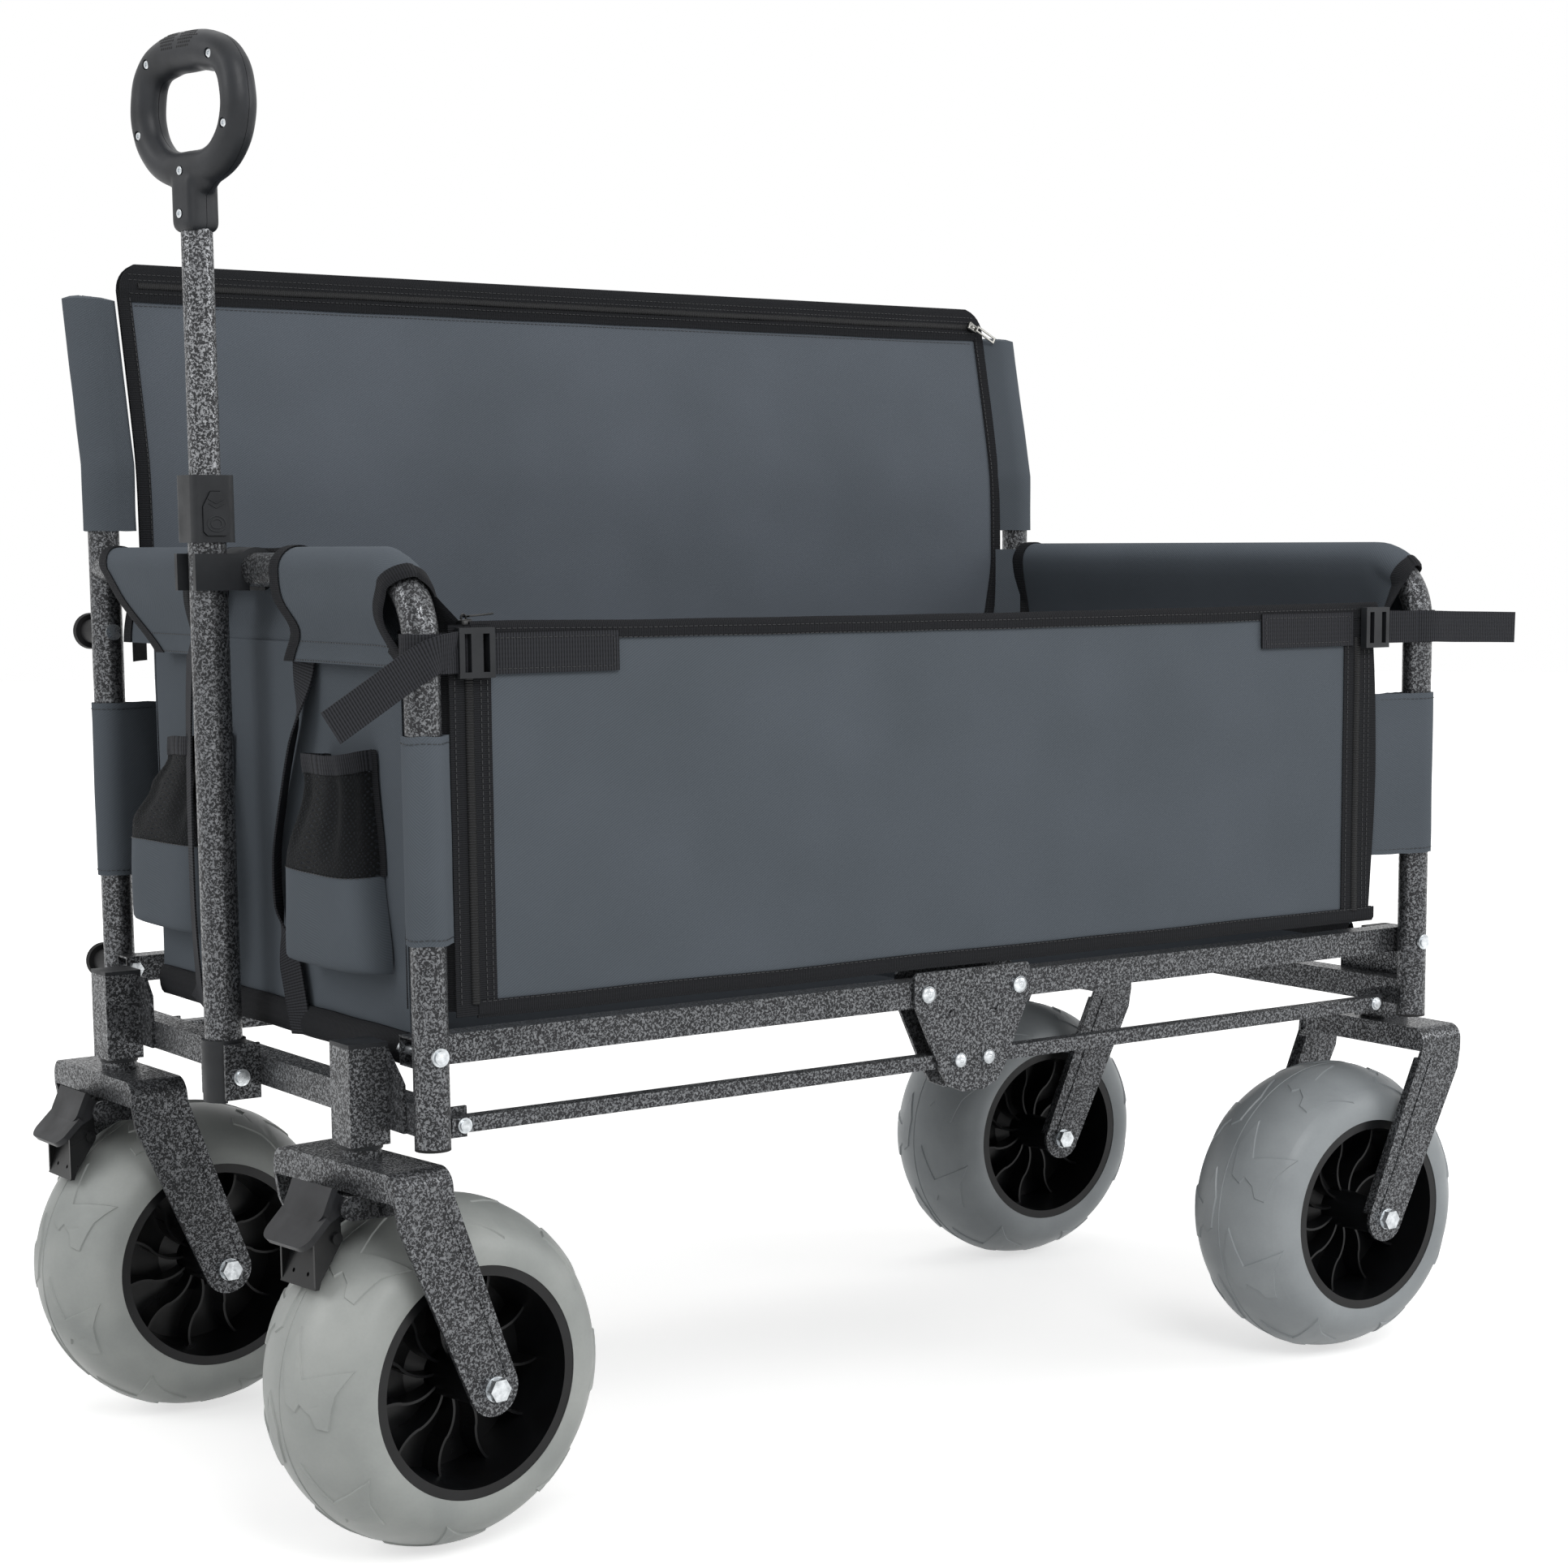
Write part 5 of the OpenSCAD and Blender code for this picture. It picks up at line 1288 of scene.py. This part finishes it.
def on_tyre(roll, across, proud):
    """A point of the tread about the axle: roll runs round the tyre and across runs from its middle."""
    run = abs(across)
    if run <= 52:
        a = run / CROWN_R
        radius, y = 51 + CROWN_R * math.cos(a), CROWN_R * math.sin(a)
    else:
        a = SHOULDER_A + (run - 52) / SHOULDER_R
        radius, y = 88.3 + SHOULDER_R * math.cos(a), 31 + SHOULDER_R * math.sin(a)
    radius, y = radius + proud * math.cos(a), math.copysign(y + proud * math.sin(a), across)
    turn = roll / TYRE_R
    return Vector((radius * math.cos(turn), y, radius * math.sin(turn))) / 1000


def tread():
    """One lug is shaped flat, with a sloped rim, then wrapped on the tyre and set round both sides."""
    deselect()
    bpy.ops.mesh.primitive_circle_add(vertices=len(LUG), radius=1, fill_type="NGON")
    flat = bpy.context.active_object
    for vertex, (roll, across) in zip(flat.data.vertices, LUG):
        vertex.co = (roll, across, 0)
    bpy.ops.object.mode_set(mode="EDIT")
    bpy.ops.mesh.select_all(action="SELECT")
    bpy.ops.mesh.inset(thickness=1.1, depth=0)
    bpy.ops.object.mode_set(mode="OBJECT")
    outline = {v.index for v in flat.data.vertices if any((v.co.xy - Vector(p)).length < 0.2 for p in LUG)}
    for vertex in flat.data.vertices:
        vertex.co.z = -0.5 if vertex.index in outline else 1.25
    for _ in range(4):
        bpy.ops.object.mode_set(mode="EDIT")
        bpy.ops.mesh.select_all(action="SELECT")
        bpy.ops.mesh.quads_convert_to_tris(quad_method="BEAUTY", ngon_method="BEAUTY")
        shape = bmesh.from_edit_mesh(flat.data)
        for edge in shape.edges:
            edge.select = edge.calc_length() > 7
        shape.select_flush_mode()
        bmesh.update_edit_mesh(flat.data)
        bpy.ops.mesh.subdivide(number_cuts=1, quadcorner="INNERVERT")
        bpy.ops.object.mode_set(mode="OBJECT")
    cells = [list(p.vertices) for p in flat.data.polygons]
    spots = [v.co.copy() for v in flat.data.vertices]
    bpy.data.objects.remove(flat)
    points, faces = [], []
    pitch = 2 * math.pi * TYRE_R / LUGS
    for k in range(2 * LUGS):
        side = 1 if k % 2 else -1
        start = len(points)
        points += [on_tyre(c.x + k * pitch / 2, side * max(c.y, 0.5), c.z) for c in spots]
        faces += [[start + i for i in (cell if side > 0 else reversed(cell))] for cell in cells]
    mesh = bpy.data.meshes.new("tread")
    mesh.from_pydata(points, [], faces)
    piece = bpy.data.objects.new("tread", mesh)
    bpy.context.collection.objects.link(piece)
    deselect()
    bpy.ops.mesh.primitive_torus_add(major_radius=0.12603, minor_radius=0.0006, major_segments=120,
                                     minor_segments=8, rotation=(math.pi / 2, 0, 0))
    bpy.ops.object.transform_apply()
    piece.select_set(True)
    bpy.context.view_layer.objects.active = piece
    bpy.ops.object.join()
    bpy.ops.object.mode_set(mode="EDIT")
    bpy.ops.mesh.select_all(action="SELECT")
    bpy.ops.mesh.normals_make_consistent(inside=False)
    bpy.ops.object.mode_set(mode="OBJECT")
    return piece


first_tread = tread()
for name, body, node, degrees, material, slot in (
        ("near_front_tread", "near_front_wheel", "near_front_axle", 7, TYRE_FRONT, "tyre_front"),
        ("far_front_tread", "far_front_wheel", "far_front_axle", 2, TYRE_FRONT, "tyre_front"),
        ("near_rear_tread", "near_rear_wheel", "near_rear_hub", 0, TYRE_REAR, "tyre_rear"),
        ("far_rear_tread", "far_rear_wheel", "far_rear_hub", 0, TYRE_REAR, "tyre_rear")):
    low, high = corners(node)
    piece = bpy.data.objects.new(name, first_tread.data.copy())
    bpy.context.collection.objects.link(piece)
    piece.matrix_world = Matrix.Translation((low + high) / 2000) @ Matrix.Rotation(
        math.radians(degrees), 4, "Z") @ Matrix.Rotation(math.radians(23 * degrees), 4, "Y")
    settle(piece, name, body, material, slot, 30)
bpy.data.objects.remove(first_tread)


# ------------------------------------------------------------------ grip, button, bracket tabs, rivet heads

def joined(pieces, name, body, material, slot, smooth=40):
    return settle(merged(pieces), name, body, material, slot, smooth)


def dome(place, radius, height, axis, segments=20):
    """Shallow round head facing along axis."""
    deselect()
    bpy.ops.mesh.primitive_uv_sphere_add(segments=segments, ring_count=10, radius=1)
    piece = bpy.context.active_object
    turn = Vector((0, 0, 1)).rotation_difference(Vector(axis)).to_matrix().to_4x4()
    piece.matrix_world = Matrix.Translation(Vector(place) / 1000) @ turn @ Matrix.Diagonal(
        (radius / 1000, radius / 1000, height / 1000, 1))
    bpy.ops.object.transform_apply()
    return piece


collar_low, collar_high = corners("handle_collar")
tube_low, tube_high = corners("upper_handle_tube")
HANDLE = Vector(((collar_low.x + collar_high.x) / 2, (collar_low.y + collar_high.y) / 2, 0))
GRIP_TURN = math.radians(12)
GRIP_FOOT = corners("grip_front_shell")[0].z
# across, height over the neck's foot and thickness radius, from the middle of the top bar down one side
GRIP_RING = [(0, 128.4, 14.8), (25, 126.6, 14.4), (46, 117, 13), (54.5, 96, 13), (53, 76, 13), (44, 60, 13),
             (28, 49, 13), (0, 45.5, 13.5)]
# across, height over the neck's foot and depth of the pocket
GRIP_SCREWS = [(0, 13, 1.0), (0, 43.5, 1.0), (-52, 72.5, 2.6), (52, 72.5, 2.6), (-38, 122, 2.6),
               (38, 122, 2.6)]
PAD_MIDDLE = 128          # height over the neck's foot of the top bar's axis, for its dimples


def rod(start, length, radius):
    """Plain rod along x, from start, in millimetres about the grip's own axis."""
    deselect()
    bpy.ops.mesh.primitive_cylinder_add(vertices=24, radius=radius / 1000, depth=length / 1000,
                                        rotation=(0, math.pi / 2, 0),
                                        location=((start[0] + length / 2) / 1000, start[1] / 1000,
                                                  start[2] / 1000))
    bpy.ops.object.transform_apply()
    return bpy.context.active_object


def grip_core():
    """Ring, neck and the swelling between them, grown together and smoothed like one moulding."""
    line = bpy.data.curves.new("grip_ring", "CURVE")
    line.dimensions = "3D"
    line.bevel_depth, line.bevel_resolution, line.resolution_u = 0.013, 8, 12
    run = line.splines.new("BEZIER")
    path = GRIP_RING + [(-y, z, r) for y, z, r in GRIP_RING[-2:0:-1]]
    run.bezier_points.add(len(path) - 1)
    for dot, (y, z, r) in zip(run.bezier_points, path):
        dot.co = (0, y / 1000, (GRIP_FOOT + z) / 1000)
        dot.radius = r / 13
        dot.handle_left_type = dot.handle_right_type = "AUTO"
    run.use_cyclic_u = True
    ring = bpy.data.objects.new("grip_ring", line)
    bpy.context.collection.objects.link(ring)
    pick(ring)
    bpy.ops.object.convert(target="MESH")
    ring = bpy.context.active_object
    deselect()
    bpy.ops.mesh.primitive_cube_add(size=1, location=(-0.0005, 0, (GRIP_FOOT + 21) / 1000),
                                    scale=(0.028, 0.026, 0.042))
    neck = bpy.context.active_object
    bpy.ops.object.transform_apply()
    modify(neck, "BEVEL", width=0.0065, segments=5)
    for vertex in neck.data.vertices:
        if vertex.co.z < (GRIP_FOOT + 3) / 1000:
            vertex.co.z = max(vertex.co.z, GRIP_FOOT / 1000)
    deselect()
    bpy.ops.mesh.primitive_uv_sphere_add(segments=32, ring_count=16, radius=1,
                                         location=(0, 0, (GRIP_FOOT + 39) / 1000),
                                         scale=(0.0125, 0.026, 0.014))
    swelling = bpy.context.active_object
    bpy.ops.object.transform_apply()
    core = merged([ring, neck, swelling])
    modify(core, "REMESH", mode="VOXEL", voxel_size=0.0015, use_smooth_shade=True)
    modify(core, "SMOOTH", factor=0.5, iterations=14)
    return core


def grip_shells(core):
    """Bore and screw pockets are cut, then the moulding is parted down the middle."""
    skin = BVHTree.FromPolygons([v.co for v in core.data.vertices], [p.vertices for p in core.data.polygons])
    depths = []
    for y, z, sunk in GRIP_SCREWS:
        hit = skin.ray_cast(Vector((-0.05, y / 1000, (GRIP_FOOT + z) / 1000)), Vector((1, 0, 0)))[0]
        depths.append(hit.x * 1000 + sunk)
    tools = [rod((-40, y, GRIP_FOOT + z), 40 + depth, 3.7) for (y, z, _), depth in zip(GRIP_SCREWS, depths)]
    deselect()
    bore = (tube_high.x - tube_low.x) / 2000 + 0.0001
    bpy.ops.mesh.primitive_cylinder_add(vertices=40, radius=bore, depth=0.05,
                                        location=(0, 0, (GRIP_FOOT + 15) / 1000))
    tools.append(bpy.context.active_object)
    bpy.ops.object.transform_apply()
    cutter = merged(tools)
    modify(core, "BOOLEAN", operation="DIFFERENCE", object=cutter, solver="EXACT")
    bpy.data.objects.remove(cutter)
    halves = []
    for name, side in (("grip_shell_front", -1), ("grip_shell_rear", 1)):
        half = bpy.data.objects.new(name, core.data.copy())
        bpy.context.collection.objects.link(half)
        pick(half)
        bpy.ops.object.mode_set(mode="EDIT")
        bpy.ops.mesh.select_all(action="SELECT")
        bpy.ops.mesh.bisect(plane_co=(side * 0.0002, 0, 0), plane_no=(side, 0, 0), use_fill=True,
                            clear_inner=True)
        bpy.ops.mesh.select_all(action="SELECT")
        bpy.ops.mesh.normals_make_consistent(inside=False)
        bpy.ops.object.mode_set(mode="OBJECT")
        halves.append(half)
    bpy.data.objects.remove(core)
    heads = []
    for (y, z, _), depth in zip(GRIP_SCREWS, depths):
        head = rod((depth - 1.5, y, GRIP_FOOT + z), 1.5, 3.1)
        bpy.ops.object.mode_set(mode="EDIT")
        bpy.ops.mesh.select_all(action="DESELECT")
        shape = bmesh.from_edit_mesh(head.data)
        for face in shape.faces:
            face.select = face.normal.x < -0.9
        bmesh.update_edit_mesh(head.data)
        bpy.ops.mesh.inset(thickness=0.0005, depth=0.0003)
        bpy.ops.mesh.inset(thickness=0.0012, depth=0)
        bpy.ops.mesh.inset(thickness=0.0002, depth=-0.0009)
        bpy.ops.object.mode_set(mode="OBJECT")
        heads.append(head)
    return halves, merged(heads), skin


def placed_on_handle(piece):
    piece.matrix_world = Matrix.Translation(HANDLE / 1000) @ Matrix.Rotation(GRIP_TURN, 4, "Z")
    pick(piece)
    bpy.ops.object.transform_apply()
    return piece


shells, screw_heads, grip_skin = grip_shells(grip_core())
for shell, node in zip(shells, ("grip_front_shell", "grip_rear_shell")):
    settle(placed_on_handle(shell), shell.name, "upper_handle", GRIP, "grip_plastic", 40)
    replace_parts(shell, node)
settle(placed_on_handle(screw_heads), "grip_screw_heads", "upper_handle", ZINC, "zinc", 30)
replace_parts(screw_heads, "grip_screws")

dots = []
for block in (-1, 1):
    for column in range(9):
        for row in range(6):
            turn = math.radians(8 + 11 * row)
            along = block * (3.2 + 2.5 * column + 1.25 * (row % 2))
            if abs(along) > 23 - 2.4 * abs(row - 3):
                continue
            away = Vector((-math.cos(turn), 0, math.sin(turn)))
            middle = Vector((0, along, GRIP_FOOT + PAD_MIDDLE)) / 1000
            hit = grip_skin.ray_cast(middle + away * 0.05, -away)[0]
            dots.append(dome(hit * 1000, 1.05, 0.3, away, 8))
grip_dots = merged(dots)
settle(placed_on_handle(grip_dots), "grip_dimples", "upper_handle", RUBBER, "grip_plastic", 60)

button_low, button_high = corners("release_button")
button_x = middle_x("release_button")
marks = []
for radius in (3.4, 5.6):
    deselect()
    bpy.ops.mesh.primitive_torus_add(major_radius=radius / 1000, minor_radius=0.0005, major_segments=36,
                                     minor_segments=8, rotation=(math.pi / 2, 0, 0),
                                     location=(button_x / 1000, button_low.y / 1000,
                                               (button_low.z + 8.5) / 1000))
    marks.append(bpy.context.active_object)
    marks[-1].scale = (1.25, 1, 1)
for lift in (0, 3.4):
    for side in (-1, 1):
        deselect()
        bpy.ops.mesh.primitive_cylinder_add(vertices=12, radius=0.0005, depth=0.0066,
                                            rotation=(0, side * math.radians(62), 0),
                                            location=((button_x + side * 2.9) / 1000, button_low.y / 1000,
                                                      (button_high.z - 10.5 + lift) / 1000))
        marks.append(bpy.context.active_object)
joined(marks, "button_marks", "handle_button", FITTING, "black_plastic")

plate_low, plate_high = corners("centre_brackets")
lances = []
for y, side in ((plate_low.y, -1), (plate_high.y, 1)):
    for x in (-25, 21):
        line = bpy.data.curves.new("lance", "CURVE")
        line.dimensions = "3D"
        line.bevel_depth = 0.0011
        line.bevel_resolution = 3
        line.use_fill_caps = True
        run = line.splines.new("BEZIER")
        path = [(-6, -3.6, -0.5), (-3.4, -1.0, 0.5), (0.4, -2.2, 0.7), (4.2, 1.8, 0.5), (7, 2.6, -0.5)]
        run.bezier_points.add(len(path) - 1)
        for dot, (dx, dz, out) in zip(run.bezier_points, path):
            dot.co = metres(x + dx, y + side * out, 347 + dz)
            dot.handle_left_type = dot.handle_right_type = "AUTO"
        wire = bpy.data.objects.new("lance", line)
        bpy.context.collection.objects.link(wire)
        pick(wire)
        bpy.ops.object.convert(target="MESH")
        lances.append(bpy.context.active_object)
joined(lances, "bracket_lances", "fold_brackets", HAMMERTONE, "frame_enamel")

rivet_low, rivet_high = corners("bracket_rivets")
heads = []
for y, side in ((rivet_low.y + 0.2, -1), (rivet_high.y - 0.2, 1)):
    for x, z, radius in ((-45, 364, 6.3), (45, 364, 6.3)):
        heads.append(dome((x, y, z), radius, 2.2, (0, side, 0)))
        heads.append(dome((x, y + side * 1.6, z), 2.4, 1.3, (0, side, 0)))
for y, side in ((rivet_low.y + 0.2, -1), (rivet_high.y - 0.2, 1)):
    for x in (14, -14):
        heads.append(dome((x, y, 309.5), 5.3, 2.0, (0, side, 0)))
        heads.append(dome((x, y + side * 1.4, 309.5), 2.1, 1.2, (0, side, 0)))
joined(heads, "rivet_heads", "fold_brackets", ZINC, "zinc", 60)


# ------------------------------------------------------------------ floor, backdrop, light and camera

def pale_stage(name, code, seen):
    # Matt studio paper, pale grey where light falls on it and white where it is seen past the shadow.
    f = Finish(name, Roughness=0.9)
    f.shader.inputs["Base Color"].default_value = colour(code)
    path = f.add("ShaderNodeLightPath")
    seen_or_mirrored = f.maths("MAXIMUM", path.outputs["Is Camera Ray"], path.outputs["Is Glossy Ray"])
    looks = f.maths("MAXIMUM", seen_or_mirrored, path.outputs["Is Transmission Ray"])
    reach = f.add("ShaderNodeVectorMath", {0: f.objects()}, operation="LENGTH").outputs["Value"]
    glow = f.ramp(f.maths("DIVIDE", reach, 4.0),
                  [(0.3, [seen] * 3 + [1]), (0.85, [1] * 3 + [1])]).outputs["Color"]
    f.shader.inputs["Emission Color"].default_value = (1, 1, 1, 1)
    f.link(f.maths("MULTIPLY", looks, glow), "Emission Strength")
    return f.material


deselect()
bpy.ops.mesh.primitive_circle_add(vertices=96, radius=14, fill_type="NGON", location=(0, 0, -0.0022))
ground = bpy.context.active_object
ground.name = "studio_floor"
ground.data.materials.append(pale_stage("studio_paper", "#d9d9d8", 0.62))

world = bpy.data.worlds.new("studio")
bpy.context.scene.world = world
world.use_nodes = True
tree = world.node_tree
tree.nodes.clear()
path = tree.nodes.new("ShaderNodeLightPath")
first, second = tree.nodes.new("ShaderNodeMath"), tree.nodes.new("ShaderNodeMath")
first.operation = second.operation = "MAXIMUM"
tree.links.new(path.outputs["Is Camera Ray"], first.inputs[0])
tree.links.new(path.outputs["Is Glossy Ray"], first.inputs[1])
tree.links.new(first.outputs[0], second.inputs[0])
tree.links.new(path.outputs["Is Transmission Ray"], second.inputs[1])
plain, white = tree.nodes.new("ShaderNodeBackground"), tree.nodes.new("ShaderNodeBackground")
plain.inputs["Color"].default_value = (1, 1, 1, 1)
plain.inputs["Strength"].default_value = 0.5
white.inputs["Color"].default_value = (1, 1, 1, 1)
white.inputs["Strength"].default_value = 1.0
blend_in, out = tree.nodes.new("ShaderNodeMixShader"), tree.nodes.new("ShaderNodeOutputWorld")
tree.links.new(second.outputs[0], blend_in.inputs["Fac"])
tree.links.new(plain.outputs[0], blend_in.inputs[1])
tree.links.new(white.outputs[0], blend_in.inputs[2])
tree.links.new(blend_in.outputs[0], out.inputs["Surface"])


def softbox(name, place, aim, size, watts):
    lamp = bpy.data.lights.new(name, "AREA")
    lamp.shape = "RECTANGLE"
    lamp.size, lamp.size_y = size
    lamp.energy = watts
    item = bpy.data.objects.new(name, lamp)
    bpy.context.collection.objects.link(item)
    item.location = place
    item.rotation_euler = (Vector(aim) - Vector(place)).to_track_quat("-Z", "Y").to_euler()


softbox("key_softbox", (-0.8, -3.0, 2.8), (0, 0, 0.45), (1.6, 1.6), 54)
softbox("side_softbox", (-3.2, 0.6, 2.0), (-0.2, 0, 0.45), (1.2, 1.6), 22)
softbox("fill_softbox", (2.8, -2.2, 1.7), (0, 0, 0.4), (2.0, 1.6), 28)
softbox("top_softbox", (0.3, 0.4, 3.4), (0, 0, 0.4), (2.6, 2.2), 16)

YAW, PITCH, ROLL = math.radians(36.24), math.radians(7.31), math.radians(-0.25)
lens = bpy.data.cameras.new("camera")
lens.lens, lens.sensor_width = 67.7, 36
lens.shift_x, lens.shift_y = -0.066, 0.088
lens.dof.use_dof = False
camera = bpy.data.objects.new("camera", lens)
bpy.context.collection.objects.link(camera)
camera.matrix_world = (Matrix.Translation((-1.399, -2.080, 0.709)) @ Matrix.Rotation(-YAW, 4, "Z")
                       @ Matrix.Rotation(math.pi / 2 - PITCH, 4, "X") @ Matrix.Rotation(ROLL, 4, "Z"))
bpy.context.scene.camera = camera
bpy.context.scene.view_settings.view_transform = "Standard"
